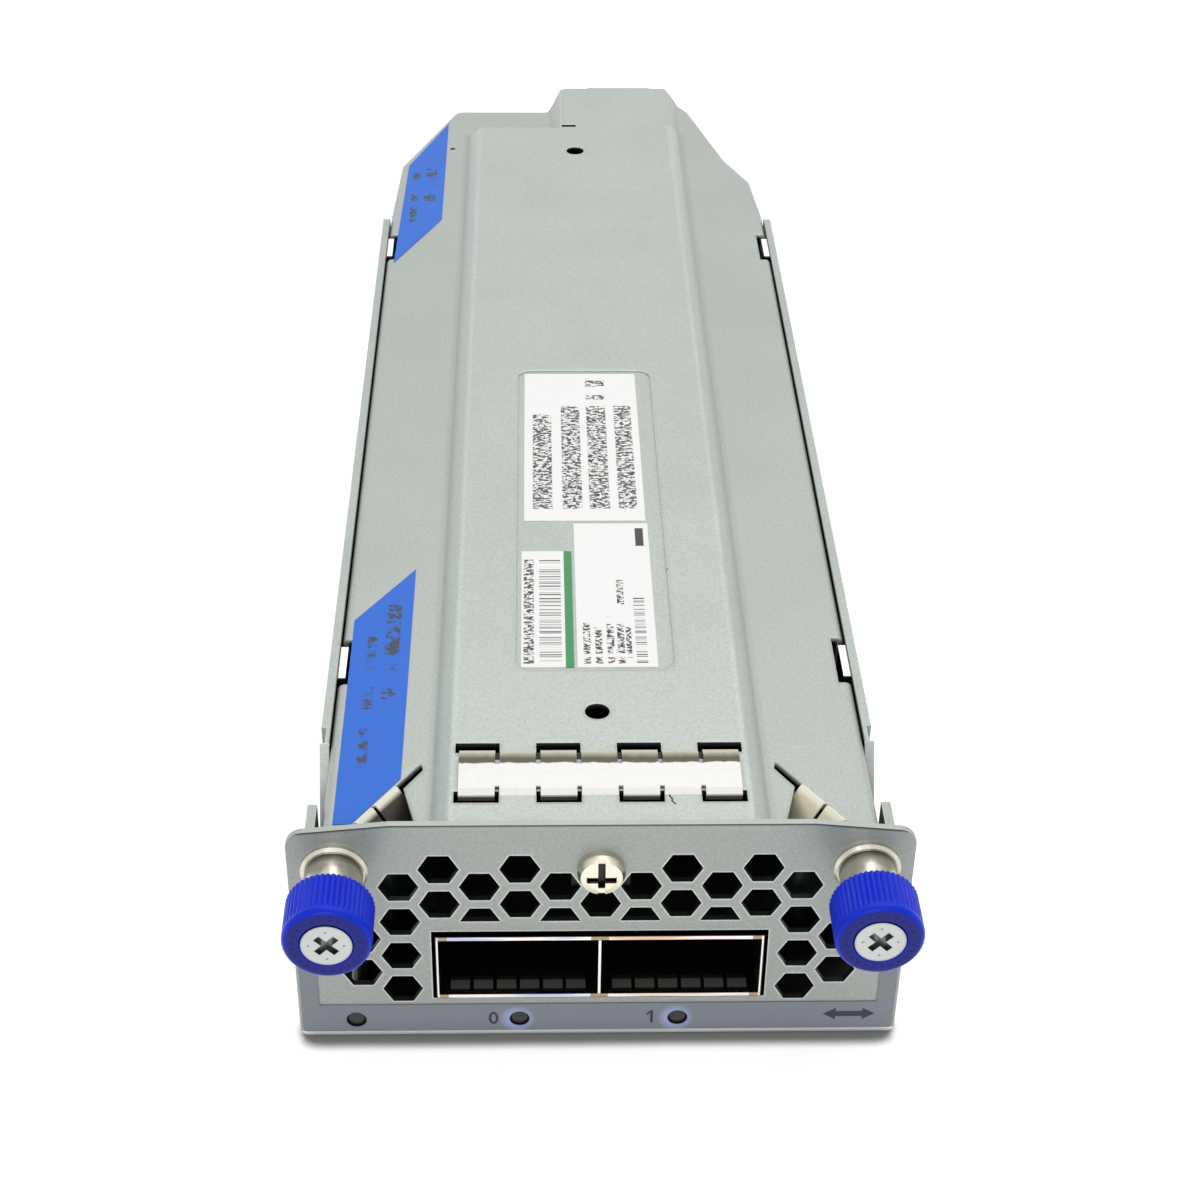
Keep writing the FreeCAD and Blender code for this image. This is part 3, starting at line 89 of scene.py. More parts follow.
class Surface:
    """A material with a Principled shader, and short calls to wire its nodes."""

    def __init__(self, name, metallic=0.0, roughness=0.5, **sockets):
        self.material = bpy.data.materials.new(name)
        self.material.use_nodes = True
        self.tree = self.material.node_tree
        self.shader = self.tree.nodes["Principled BSDF"]
        self.set(self.shader, Metallic=metallic, Roughness=roughness, **sockets)
        self.place = self.node("ShaderNodeTexCoord").outputs["Object"]
        self.eased = None

    def set(self, node, **values):
        for name, value in values.items():
            node.inputs[name.replace("_", " ")].default_value = value

    def node(self, kind, **values):
        made = self.tree.nodes.new(kind)
        for name, value in values.items():
            setattr(made, name, value)
        return made

    def link(self, source, target):
        self.tree.links.new(source, target)

    def put(self, socket, value):
        """Set an input to a number or colour, or link it."""
        if hasattr(value, "is_output"):
            self.link(value, socket)
        else:
            socket.default_value = value

    def maths(self, operation, first, second=0.0, third=0.0, clamp=False):
        made = self.node("ShaderNodeMath", operation=operation, use_clamp=clamp)
        for socket, value in zip(made.inputs, (first, second, third)):
            self.put(socket, value)
        return made.outputs[0]

    def length(self, first, second):
        """The length of a line from its two sides at a right angle."""
        square = self.maths("ADD", self.maths("MULTIPLY", first, first), self.maths("MULTIPLY", second, second))
        return self.maths("SQRT", square)

    def axes(self):
        """The object's x, y and z at this point, in metres."""
        made = self.node("ShaderNodeSeparateXYZ")
        self.link(self.place, made.inputs[0])
        return made.outputs

    def noise(self, scale, detail=2.0, roughness=0.5, stretch=(1, 1, 1)):
        """Noise from 0 to 1 with features about 1 / scale metres wide."""
        mapping = self.node("ShaderNodeMapping")
        self.link(self.place, mapping.inputs["Vector"])
        mapping.inputs["Scale"].default_value = stretch
        made = self.node("ShaderNodeTexNoise")
        self.link(mapping.outputs[0], made.inputs["Vector"])
        self.set(made, Scale=scale, Detail=detail, Roughness=roughness)
        return made.outputs["Fac"]

    def ramp(self, value, low, high, start=0.0, end=1.0):
        """Map a value from a range to another, held at its ends."""
        made = self.node("ShaderNodeMapRange")
        for socket, number in zip(made.inputs, (value, low, high, start, end)):
            self.put(socket, number)
        return made.outputs[0]

    def falls(self, value, start, end):
        """1 up to the start, falling to 0 at the end."""
        return self.ramp(value, start, end, 1.0, 0.0)

    def mix(self, factor, first, second):
        made = self.node("ShaderNodeMix", data_type="RGBA")
        for socket, value in ((made.inputs[0], factor), (made.inputs[6], first), (made.inputs[7], second)):
            self.put(socket, value)
        return made.outputs[2]

    def paint(self, value):
        self.put(self.shader.inputs["Base Color"], value)

    def rough(self, value, low, high):
        self.link(self.ramp(value, 0.3, 0.7, low, high), self.shader.inputs["Roughness"])

    def bump(self, height, depth_mm, strength=1.0):
        made = self.node("ShaderNodeBump")
        self.set(made, Strength=strength, Distance=depth_mm * MM)
        self.link(height, made.inputs["Height"])
        if self.eased:
            self.link(self.eased, made.inputs["Normal"])
        self.link(made.outputs[0], self.shader.inputs["Normal"])

    def painted(self):
        """The colour that the shader has so far."""
        return self.shader.inputs["Base Color"].links[0].from_socket

    def rounded_normal(self, radius_mm):
        made = self.node("ShaderNodeBevel", samples=6)
        self.set(made, Radius=radius_mm * MM)
        return made.outputs[0]

    def edges(self, radius_mm, flat=0.9995, sharp=0.975):
        """1 beside a sharp edge of the mesh, 0 on the open face."""
        geometry = self.node("ShaderNodeNewGeometry")
        made = self.node("ShaderNodeVectorMath", operation="DOT_PRODUCT")
        self.link(self.rounded_normal(radius_mm), made.inputs[0])
        self.link(geometry.outputs["True Normal"], made.inputs[1])
        return self.falls(made.outputs["Value"], sharp, flat)

    def beyond(self, value, limit, soft=SOFT_EDGE):
        """1 where a value is more than a limit."""
        return self.ramp(value, limit - soft, limit + soft)

    def over(self, mask, colour):
        """Paint a colour where the mask is 1."""
        self.paint(self.mix(mask, self.painted(), colour))

    def tone(self, mask, factor):
        """Lighten or darken what is painted where the mask is 1."""
        made = self.node("ShaderNodeMix", data_type="RGBA", blend_type="MULTIPLY")
        made.inputs[0].default_value = 1.0
        self.link(self.painted(), made.inputs[6])
        self.link(self.mix(mask, (1, 1, 1, 1), (factor, factor, factor, 1)), made.inputs[7])
        self.paint(made.outputs[2])

    def between(self, value, low, high, soft=SOFT_EDGE):
        """1 where a value lies between two others, with a narrow soft edge."""
        rise = self.ramp(value, low - soft, low + soft)
        fall = self.falls(value, high - soft, high + soft)
        return self.maths("MULTIPLY", rise, fall)

    def facing(self):
        """The x, y and z of the direction that the surface faces."""
        geometry = self.node("ShaderNodeNewGeometry")
        made = self.node("ShaderNodeSeparateXYZ")
        self.link(geometry.outputs["True Normal"], made.inputs[0])
        return made.outputs

    def every(self, *masks):
        result = masks[0]
        for mask in masks[1:]:
            result = self.maths("MULTIPLY", result, mask)
        return result

    def any_of(self, masks):
        result = masks[0]
        for mask in masks[1:]:
            result = self.maths("MAXIMUM", result, mask)
        return result

    def patch(self, x, y):
        """1 inside a rectangle seen from above, given in millimetres behind the plate's front."""
        axes = self.axes()
        across = self.between(axes[0], x[0] * MM, x[1] * MM)
        along = self.between(axes[1], from_face(y[0]), from_face(y[1]))
        return self.maths("MULTIPLY", across, along)

    def strokes(self, scale, share):
        """Bands across y of uneven width, as in a bar code. The share is how much of it is ink."""
        made = self.node("ShaderNodeTexNoise", noise_dimensions="1D")
        self.link(self.axes()[1], made.inputs["W"])
        self.set(made, Scale=scale, Detail=1.0)
        return self.ramp(made.outputs["Fac"], 1 - share - 0.02, 1 - share + 0.02)

    def ring(self, x, y, radius):
        """1 inside a small round spot on the cover, given in millimetres."""
        axes = self.axes()
        across = self.maths("SUBTRACT", axes[0], x * MM)
        along = self.maths("SUBTRACT", axes[1], from_face(y))
        return self.falls(self.length(across, along), radius * 0.8 * MM, radius * 1.2 * MM)

    def line(self, start, end, width):
        """1 beside a short straight line on the cover, given in millimetres."""
        x, y, _ = self.axes()
        run = Vector((end[0] - start[0], end[1] - start[1]))
        length = run.length * MM
        run.normalize()
        from_x = self.maths("SUBTRACT", x, start[0] * MM)
        from_y = self.maths("SUBTRACT", y, from_face(start[1]))
        along = self.maths("ADD", self.maths("MULTIPLY", from_x, run.x), self.maths("MULTIPLY", from_y, run.y))
        aside = self.maths("SUBTRACT", self.maths("MULTIPLY", from_x, run.y), self.maths("MULTIPLY", from_y, run.x))
        near = self.falls(self.maths("ABSOLUTE", aside), width / 2 * MM, width * MM)
        return self.maths("MULTIPLY", near, self.between(along, -0.05 * MM, length + 0.05 * MM))

    def disc(self, x, z, inner, outer):
        """1 within a distance of a point on the face, falling to 0 further out."""
        axes = self.axes()
        across = self.maths("SUBTRACT", axes[0], x)
        up = self.maths("SUBTRACT", axes[2], z)
        return self.falls(self.length(across, up), inner, outer)


def sheet_metal(name, colour, metallic, roughness, grain=2600.0, mottle=0.11, ease_mm=0.0):
    """Plated sheet steel: a fine speckle, broad soft clouds and uneven gloss."""
    surface = Surface(name, metallic, roughness)
    if ease_mm:
        surface.eased = surface.rounded_normal(ease_mm)
    speckle = surface.noise(grain, 3.0, 0.7)
    clouds = surface.noise(60.0, 3.0, 0.55)
    both = surface.maths("ADD", surface.maths("MULTIPLY", speckle, 0.82), surface.maths("MULTIPLY", clouds, 0.18))
    surface.paint(surface.mix(surface.ramp(both, 0.35, 0.65), shade(colour, 1 - mottle), shade(colour, 1 + mottle)))
    surface.rough(clouds, roughness - 0.06, roughness + 0.06)
    surface.bump(speckle, 0.012, 0.5)
    return surface


def plain_plastic(name, colour, roughness, grain=1500.0, depth_mm=0.02, mottle=0.06, **sockets):
    """Moulded plastic or a part's painted body, with a fine texture."""
    surface = Surface(name, 0.0, roughness, **sockets)
    grains = surface.noise(grain, 3.0, 0.6)
    surface.paint(surface.mix(grains, shade(colour, 1 - mottle), shade(colour, 1 + mottle)))
    surface.rough(grains, roughness - 0.05, roughness + 0.05)
    surface.bump(grains, depth_mm, 0.4)
    return surface


def plated_metal(name, colour, roughness, stretch=(1, 1, 1), **sockets):
    """Bright plating with faint turning or rolling marks."""
    surface = Surface(name, 1.0, roughness, **sockets)
    marks = surface.noise(900.0, 3.0, 0.6, stretch)
    surface.paint(surface.mix(marks, shade(colour, 0.9), shade(colour, 1.08)))
    surface.rough(marks, roughness - 0.05, roughness + 0.07)
    surface.bump(marks, 0.006, 0.4)
    return surface


def dress(name, surface):
    """Give a CAD node its finished material."""
    for slot in nodes[name].material_slots:
        slot.material = surface.material


# Colours of the sheet metal, with painted shade and painted highlights on it
ZINC = linear(181, 188, 182)
PLATE = linear(166, 171, 166)
# Dark paint for the cover's marks and scratch, and painted shade inside, underneath, in slots and in gaps
SHADE_AND_MARK_DARK = linear(16, 17, 17)
# A dark line painted along edges: painted shade at the rails' inner edges beside the gap, and a thin line along the
# plate's top
DARK_EDGE_LINE = linear(82, 84, 77)
# Painted highlight on the rails' hooks
HOOK_HIGHLIGHT = linear(250, 250, 246)
# Painted highlight on the plate's bend at the foot
BEND_HIGHLIGHT = linear(246, 248, 246)
# Painted shade on the vents' walls
VENT_WALL_SHADE = linear(38, 38, 36)

# Colours of the port cage, with painted shade further in
CAGE_BRIGHT = linear(246, 242, 236)
HEAT_BLUE = linear(160, 178, 232)
HEAT_RED = linear(222, 160, 130)
JOINT_BROWN = linear(170, 154, 122)
CAGE_RIM = linear(66, 54, 44)
CAGE_INNER_SHADE = linear(40, 39, 37)
FINGER_GREY = linear(92, 91, 87)

# Colours of the shielding foil and the clips, with painted shade and a painted reflection
FOIL = linear(243, 243, 240)
FOIL_SHADE = linear(92, 82, 74)
REAR_BAND_DARK = linear(92, 86, 64)
REAR_BAND_PALE = linear(206, 205, 184)
CLIP_BRIGHT = linear(246, 243, 224)
CLIP_SHADE = linear(70, 68, 62)
CLIP_PALE_REFLECTION = linear(216, 212, 184)

# Colours of the film, labels and print
FILM_GREY = linear(137, 142, 150)
LIGHT_SPILL = linear(176, 192, 246)
LABEL_WHITE = linear(250, 250, 248)
LABEL_GREEN = linear(55, 145, 85)
INK = linear(52, 50, 48)
STICKER_BLUE = linear(18, 104, 216)
STICKER_PRINT = linear(48, 60, 70)
FILM_PRINT = linear(46, 49, 54)

# Colours of the thumbscrews and the middle screw, with painted shade in the recesses and at the collars' roots
KNOB_BLUE = linear(0, 42, 208)
KNOB_WORN = linear(36, 42, 134)
KNOB_DOTS = linear(22, 22, 96)
COLLAR_NICKEL = linear(214, 210, 196)
COLLAR_ROOT_SHADE = linear(92, 88, 76)
SCREW_GREY = linear(188, 193, 190)
SCREW_RECESS_SHADE = linear(112, 114, 112)
SCREW_WARM = linear(236, 230, 212)
PAN_RECESS_SHADE = linear(58, 57, 52)

FLANGE_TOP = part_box("front_sticker")[0].z
SHEET = 0.8 * MM

# Where the cover is pressed up, from the middle outwards
PLATEAU_HALF = 17.45 * MM
JOGGLE = 2.0 * MM
PLATEAU_REAR = from_face(197.8)
# Stretches of the cover, in millimetres behind the plate's front
SHADE_UNDER_SLITS = (12.9, 14.3)
FRONT_FOLD_END = 2.5
FRONT_SLOTS_END = 28.0
REAR_SLOTS = (107.0, 197.4)
RAILS_END = 160.0
SLITS_HALF = 16.35 * MM
# Small marks on the cover: x, y behind the plate and radius, in millimetres
COVER_SPOTS = [(9.9, 52.3, 0.16), (-22.15, 190.8, 0.5)]
SCRATCH = [(7.87, 6.75), (7.95, 6.2), (8.2, 5.75), (8.15, 5.3), (8.55, 4.8)]


def cover_surface():
    """Plated steel, lighter on the raised middle, with a few dark marks. The joggle's slope is painted lighter and
    its crease darker as shade, its edges get painted highlights, and painted shade darkens it under the slits, in the
    slots, underneath, inside and on the skirt.
    """
    surface = sheet_metal("cover_steel", ZINC, 0.45, 0.42, ease_mm=0.7)
    x, y, z = surface.axes()
    facing = surface.facing()
    off_middle = surface.maths("ABSOLUTE", x)
    foot = PLATEAU_HALF + JOGGLE
    on_flange = surface.falls(z, FLANGE_TOP, FLANGE_TOP + JOGGLE)
    surface.tone(on_flange, 0.91)
    # Painted light on the joggle: its slope is painted lighter, and the crease at its foot is painted darker as
    # shade.
    before_rear = surface.falls(y, PLATEAU_REAR - MM, PLATEAU_REAR)
    slope = surface.between(off_middle, PLATEAU_HALF - 0.3 * MM, foot, 0.5 * MM)
    surface.tone(surface.every(slope, before_rear), 1.2)
    crease = surface.falls(surface.maths("ABSOLUTE", surface.maths("SUBTRACT", off_middle, foot)), 0.0, MM)
    surface.tone(surface.every(crease, before_rear), 0.82)
    # Painted highlights along the sharp edges of the flat top and beside the walls.
    on_top = surface.beyond(z, FLANGE_TOP + JOGGLE - 0.05 * MM)
    on_flat = surface.every(on_top, surface.falls(off_middle, PLATEAU_HALF - 0.5 * MM, PLATEAU_HALF - 0.4 * MM))
    by_wall = surface.beyond(off_middle, foot + MM)
    surface.tone(surface.every(surface.edges(0.3), surface.any_of([on_flat, by_wall])), 1.4)
    # Painted shade under the slits.
    shade_from, shade_to = SHADE_UNDER_SLITS
    under_slits = surface.every(on_top, surface.between(y, from_face(shade_from), from_face(shade_to)),
                                surface.falls(off_middle, SLITS_HALF - 0.05 * MM, SLITS_HALF + 0.05 * MM))
    surface.over(under_slits, SHADE_AND_MARK_DARK)
    for spot_x, spot_y, radius in COVER_SPOTS:
        surface.over(surface.ring(spot_x, spot_y, radius), SHADE_AND_MARK_DARK)
    for start, end in zip(SCRATCH, SCRATCH[1:]):
        surface.over(surface.line(start, end, 0.13), SHADE_AND_MARK_DARK)
    # Painted shade: the slots' upright walls, the faces that look down, the inside, and the outer skirt beside the
    # rails are painted dark.
    upright = surface.falls(surface.maths("ABSOLUTE", facing[2]), 0.2, 0.4)
    rear_from, rear_to = REAR_SLOTS
    outside_recess = surface.any_of([surface.falls(y, from_face(FRONT_SLOTS_END), from_face(FRONT_SLOTS_END + 1)),
                                     surface.between(y, from_face(rear_from), from_face(rear_to))])
    in_slots = surface.every(upright, surface.beyond(z, FLANGE_TOP + 0.2 * MM), outside_recess,
                             surface.beyond(y, from_face(FRONT_FOLD_END)),
                             surface.falls(off_middle, PLATEAU_HALF - 0.2 * MM, PLATEAU_HALF))
    below = surface.falls(facing[2], -0.3, -0.2)
    beside_rails = surface.falls(y, from_face(RAILS_END - 1), from_face(RAILS_END))
    within = surface.every(
        surface.between(x, cover_low.x + 1.1 * SHEET, cover_high.x - 1.1 * SHEET),
        surface.falls(z, FLANGE_TOP - SHEET, FLANGE_TOP - SHEET / 2), beside_rails,
    )
    skirt = surface.every(surface.beyond(off_middle, cover_high.x - 0.1 * MM), beside_rails,
                          surface.falls(z, FLANGE_TOP - 0.5 * MM, FLANGE_TOP - 0.3 * MM))
    surface.over(surface.any_of([below, within, in_slots, skirt]), SHADE_AND_MARK_DARK)
    return surface


def tray_surface():
    """Plated steel outside and along the rails' tops, painted lighter on those tops with painted highlights on the
    hooks and edges, and painted dark inside as shade.
    """
    surface = sheet_metal("tray_steel", shade(ZINC, 0.82), 0.5, 0.40)
    x, y, z = surface.axes()
    off_middle = surface.maths("ABSOLUTE", x)
    rail_inner = cover_high.x + 0.1 * MM
    # Painted light: the rails' tops are painted lighter, and their hooks get a painted highlight.
    top = surface.beyond(z, FLANGE_TOP - 0.2 * MM)
    surface.tone(top, 1.12)
    hook = surface.every(top, surface.between(off_middle, rail_inner - 1.1 * MM, rail_inner))
    surface.over(hook, HOOK_HIGHLIGHT)
    # Painted shade: a dark line along the rail's inner edge, beside the gap to the cover.
    inner_edge = surface.between(off_middle, rail_inner - 0.12 * MM, rail_inner + 0.1 * MM)
    surface.over(surface.every(top, inner_edge), DARK_EDGE_LINE)
    # Painted highlights along the sharp edges.
    surface.tone(surface.edges(0.16), 1.25)
    # Painted shade inside the tray.
    within = surface.every(
        surface.falls(off_middle, rail_inner + 0.05 * MM, rail_inner + 0.1 * MM),
        surface.between(z, 0.5 * MM, FLANGE_TOP - 0.3 * MM),
        surface.between(y, from_face(1.0), from_face(RAILS_END - 10)),
    )
    surface.over(within, SHADE_AND_MARK_DARK)
    return surface


CREST_HALF = 24.0 * MM
CREST_DROP = 1.2 * MM
FILM_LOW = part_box("face_film")[0].z


def plate_surface():
    """Darker plated steel. The vents' walls are painted dark as shade with painted highlights on their edges, the
    bend at the foot has a painted highlight, and the back and the lip inside are painted dark as shade.
    """
    surface = sheet_metal("plate_steel", PLATE, 0.45, 0.42)
    x, y, z = surface.axes()
    facing = surface.facing()
    off_middle = surface.maths("ABSOLUTE", x)
    fall = surface.ramp(off_middle, CREST_HALF, plate_high.x, plate_high.z, plate_high.z - CREST_DROP)
    from_top = surface.maths("SUBTRACT", fall, z)
    front = surface.ramp(surface.maths("MULTIPLY", facing[1], -1.0), 0.5, 0.9)
    inner = surface.every(
        surface.falls(off_middle, plate_high.x - 2.0 * MM, plate_high.x - 1.5 * MM),
        surface.beyond(from_top, 1.5 * MM), surface.beyond(z, 1.2 * MM),
    )
    # Painted highlights on the vents' front edges.
    surface.tone(surface.every(surface.edges(0.32), inner, front), 1.9)
    # Painted highlight on the bend at the foot.
    bend = surface.every(surface.falls(z, FILM_LOW - 0.1 * MM, FILM_LOW),
                         surface.falls(y, from_face(0.9), from_face(1.0)))
    surface.over(bend, BEND_HIGHLIGHT)
    # A thin dark line painted along the top of the plate's front.
    surface.over(surface.every(surface.falls(from_top, 0.15 * MM, 0.35 * MM), front), DARK_EDGE_LINE)
    surface.over(surface.every(surface.ramp(facing[2], 0.5, 0.8), surface.falls(from_top, MM, 1.5 * MM)),
                 shade(ZINC, 0.9))
    # Painted shade on the vents' walls.
    walls = surface.every(surface.falls(surface.maths("ABSOLUTE", facing[1]), 0.3, 0.6), inner)
    surface.over(walls, VENT_WALL_SHADE)
    # Painted shade on the plate's back inside the module, and on its lip inside.
    behind = surface.every(
        surface.ramp(facing[1], 0.4, 0.6), surface.falls(z, FLANGE_TOP - SHEET, FLANGE_TOP - SHEET / 2),
        surface.falls(off_middle, cover_high.x - 0.1 * MM, cover_high.x),
    )
    surface.over(behind, SHADE_AND_MARK_DARK)
    on_lip = surface.every(surface.ramp(facing[2], 0.5, 0.7), surface.falls(z, 4 * MM, 5 * MM))
    surface.over(on_lip, SHADE_AND_MARK_DARK)
    return surface


CAGE_JOINT = 1.0 * MM
CAGE_LIP = 0.7 * MM
HEAT_STRENGTH = 0.7


def cage_surface():
    """Bright plated sheet at the mouth, streaked by heat, with brown joints. It is painted dark further in, as shade.
    """
    surface = plated_metal("cage_steel", CAGE_BRIGHT, 0.3)
    low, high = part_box("port_cage")
    x, y, z = surface.axes()
    off_middle = surface.maths("ABSOLUTE", x)
    streak = surface.noise(600.0, 1.0, 0.5, (0.12, 0.1, 1.6))
    lips = surface.any_of([surface.beyond(z, high.z - CAGE_LIP),
                           surface.falls(z, low.z + CAGE_LIP - 0.1 * MM, low.z + CAGE_LIP)])
    surface.over(surface.every(lips, surface.ramp(streak, 0.53, 0.62, 0.0, HEAT_STRENGTH)), HEAT_BLUE)
    surface.over(surface.every(lips, surface.ramp(streak, 0.38, 0.47, HEAT_STRENGTH, 0.0)), HEAT_RED)
    joints = surface.any_of([surface.falls(off_middle, CAGE_JOINT, 1.1 * CAGE_JOINT),
                             surface.between(off_middle, high.x - 1.4 * MM, high.x - 0.35 * MM)])
    surface.over(surface.every(lips, joints), JOINT_BROWN)
    rim = surface.any_of([
        surface.beyond(off_middle, high.x - 0.1 * MM), surface.beyond(z, high.z - 0.1 * MM),
        surface.falls(z, low.z + 0.08 * MM, low.z + 0.12 * MM),
    ])
    surface.over(rim, CAGE_RIM)
    # Painted shade further into the cage.
    deep = surface.ramp(y, from_face(0.0), from_face(0.5))
    surface.over(deep, CAGE_INNER_SHADE)
    fingers = surface.every(
        surface.beyond(y, from_face(0.6)), surface.falls(y, from_face(3.4), from_face(3.6)),
        surface.between(z, low.z + 0.35 * MM, low.z + 1.6 * MM),
    )
    surface.over(fingers, FINGER_GREY)
    surface.rough(deep, 0.22, 0.5)
    return surface


def gasket_surface():
    """Bright foil, shaded where it dips into the front slots. Its rear slope has a narrow darker band and then a
    paler band.
    """
    surface = plated_metal("gasket_foil", FOIL, 0.5)
    surface.set(surface.shader, Metallic=0.1)
    _, along, height = surface.axes()
    ragged = surface.maths("MULTIPLY", surface.noise(900.0, 3.0, 0.7, (0.6, 0.3, 0.3)), 0.8 * MM)
    along = surface.maths("ADD", along, ragged)
    in_front_slots = surface.every(surface.falls(height, cover_high.z - 0.3 * MM, cover_high.z - 0.15 * MM),
                                   surface.falls(along, from_face(9.0), from_face(9.1)))
    surface.over(in_front_slots, FOIL_SHADE)
    surface.over(surface.ramp(along, from_face(11.55), from_face(11.75)), REAR_BAND_DARK)
    surface.over(surface.ramp(along, from_face(12.6), from_face(14.0)), REAR_BAND_PALE)
    return surface


def clip_surface(name, slope_colour):
    """Bright spring foil at the fold. The slope below it is painted in the colour given, a painted shade on the left
    clip and a painted reflection on the right one.
    """
    surface = plated_metal(name, CLIP_BRIGHT, 0.35)
    surface.set(surface.shader, Metallic=0.5)
    slope = surface.falls(surface.axes()[2], FLANGE_TOP - 0.3 * MM, FLANGE_TOP + 0.15 * MM)
    surface.over(slope, slope_colour)
    return surface


def film_surface():
    """Blue-grey print film with a dark edge, and pale light spilling round the two port lights."""
    surface = plain_plastic("face_film", FILM_GREY, 0.45)
    surface.tone(surface.edges(0.14), 0.72)
    glows = []
    for name in ("port_0", "port_1"):
        x, _, z = light_place(name)
        glows.append(surface.disc(x - 0.25 * MM, z, 1.2 * MM, 2.2 * MM))
    surface.over(surface.maths("MULTIPLY", surface.any_of(glows), 0.75), LIGHT_SPILL)
    return surface


def greeked(surface, rows, glyph_scale, glyph_stretch, glyph_level, word_scale, word_level):
    """Masks for rows of marks that look like small print and can't be read."""
    glyphs = surface.noise(glyph_scale, 2.0, 0.7, (glyph_stretch, 1, 1))
    words = surface.noise(word_scale, 0.0, 0.5, (0.05, 1, 1))
    marks = surface.every(surface.ramp(glyphs, glyph_level, glyph_level + 0.06),
                          surface.ramp(words, word_level, word_level + 0.04))
    return [surface.every(surface.patch(x, y), marks) for x, y in rows]


def label_surface(name, rows, codes=(), blocks=(), stripes=()):
    """White film with greeked rows, bar codes, solid blocks and coloured stripes."""
    surface = plain_plastic(name, LABEL_WHITE, 0.42, depth_mm=0.004, mottle=0.015)
    masks = greeked(surface, rows, glyph_scale=2600.0, glyph_stretch=0.55, glyph_level=0.47,
                    word_scale=420.0, word_level=0.36)
    masks += [surface.every(surface.patch(x, y), surface.strokes(3200.0, 0.45)) for x, y in codes]
    masks += [surface.patch(x, y) for x, y in blocks]
    surface.over(surface.any_of(masks), INK)
    for x, y, colour in stripes:
        surface.over(surface.patch(x, y), colour)
    return surface


def sticker_surface(name, rows):
    """Blue film with greeked dark rows."""
    surface = plain_plastic(name, STICKER_BLUE, 0.5, depth_mm=0.004, mottle=0.03)
    masks = greeked(surface, rows, glyph_scale=1100.0, glyph_stretch=0.8, glyph_level=0.46,
                    word_scale=260.0, word_level=0.40)
    surface.over(surface.any_of(masks), STICKER_PRINT)
    return surface


DOTS = 24
DOT_RING = 3.75 * MM
DOT_R = 0.15 * MM


def knob_surface(name):
    """Royal-blue plastic. The face is worn to a matt violet, with a ring of small dark dots."""
    surface = plain_plastic(name, KNOB_BLUE, 0.4, Specular_IOR_Level=0.2)
    face = surface.falls(surface.facing()[1], -0.97, -0.80)
    surface.over(face, KNOB_WORN)
    x, _, z = surface.axes()
    spacing = 2 * math.pi / DOTS
    around = surface.maths("DIVIDE", surface.maths("ARCTAN2", x, z), spacing)
    step = surface.maths("SUBTRACT", surface.maths("FRACT", around), 0.5)
    aside = surface.maths("MULTIPLY", step, spacing * DOT_RING)
    out = surface.maths("SUBTRACT", surface.length(x, z), DOT_RING)
    dots = surface.every(surface.falls(surface.length(aside, out), DOT_R * 0.8, DOT_R * 1.3), face)
    surface.over(dots, KNOB_DOTS)
    surface.rough(face, 0.34, 0.5)
    return surface


def recess_mask(surface, face_y, x, z, radius, shallow, deep):
    """1 inside a screw's drive: below its face by more than a depth, and near its axis."""
    sunk = surface.between(surface.axes()[1], face_y + shallow, face_y + deep, 0.05 * MM)
    return surface.maths("MULTIPLY", sunk, surface.disc(x, z, radius, radius + 0.05 * MM))


def screw_surface(name, node, axis_z, colour, recess, radius, shallow, deep):
    """Plated steel whose drive recess is painted dark as shade, and whose outer edge is darkened as a painted contact
    shadow.
    """
    surface = plated_metal(name, colour, 0.34)
    low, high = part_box(node)
    x = (low.x + high.x) / 2
    surface.over(recess_mask(surface, low.y, x, axis_z, radius, shallow, deep), recess)
    # Painted shade: a dark ring at the head's outer edge.
    rim = surface.disc(x, axis_z, high.x - x - 0.25 * MM, high.x - x)
    surface.tone(surface.maths("SUBTRACT", 1.0, rim), 0.7)
    return surface


def collar_surface():
    """Nickel collar with painted shade darkening its root at the plate, and faint streaks along its barrel."""
    surface = plated_metal("collar_nickel", COLLAR_NICKEL, 0.22)
    y = surface.axes()[1]
    # Painted shade at the root of the barrel, by the flange.
    root = surface.every(surface.beyond(y, from_face(-1.6), 0.6 * MM),
                         surface.falls(y, from_face(-0.9), from_face(-0.8)))
    surface.over(root, COLLAR_ROOT_SHADE)
    streaks = surface.ramp(surface.noise(500.0, 2.0, 0.6, (1, 0.15, 1)), 0.35, 0.65)
    surface.tone(streaks, 0.82)
    return surface


cover_metal = cover_surface()
tray_metal = tray_surface()
plate_metal = plate_surface()
cage_metal = cage_surface()
gasket_metal = gasket_surface()
film = film_surface()
knob_blue = knob_surface("blue_knob")
collar_nickel = collar_surface()
screw_metal = {
    side: screw_surface(f"screw_head_{side}", f"thumbscrew_screw_{side}", axis.z, SCREW_GREY, SCREW_RECESS_SHADE,
                        radius=1.75 * MM, shallow=0.1 * MM, deep=0.9 * MM)
    for side, axis in (("left", AXIS_LEFT), ("right", AXIS_RIGHT))
}
pan_metal = screw_surface("pan_screw", "middle_screw", AXIS_LEFT.z, SCREW_WARM, PAN_RECESS_SHADE,
                          radius=1.85 * MM, shallow=0.4 * MM, deep=1.9 * MM)
# The two clips are alike: the left slope is painted dark as shade, the right one pale as a painted reflection.
clip_metal = {
    "left": clip_surface("clip_foil_left", CLIP_SHADE),
    "right": clip_surface("clip_foil_right", CLIP_PALE_REFLECTION),
}
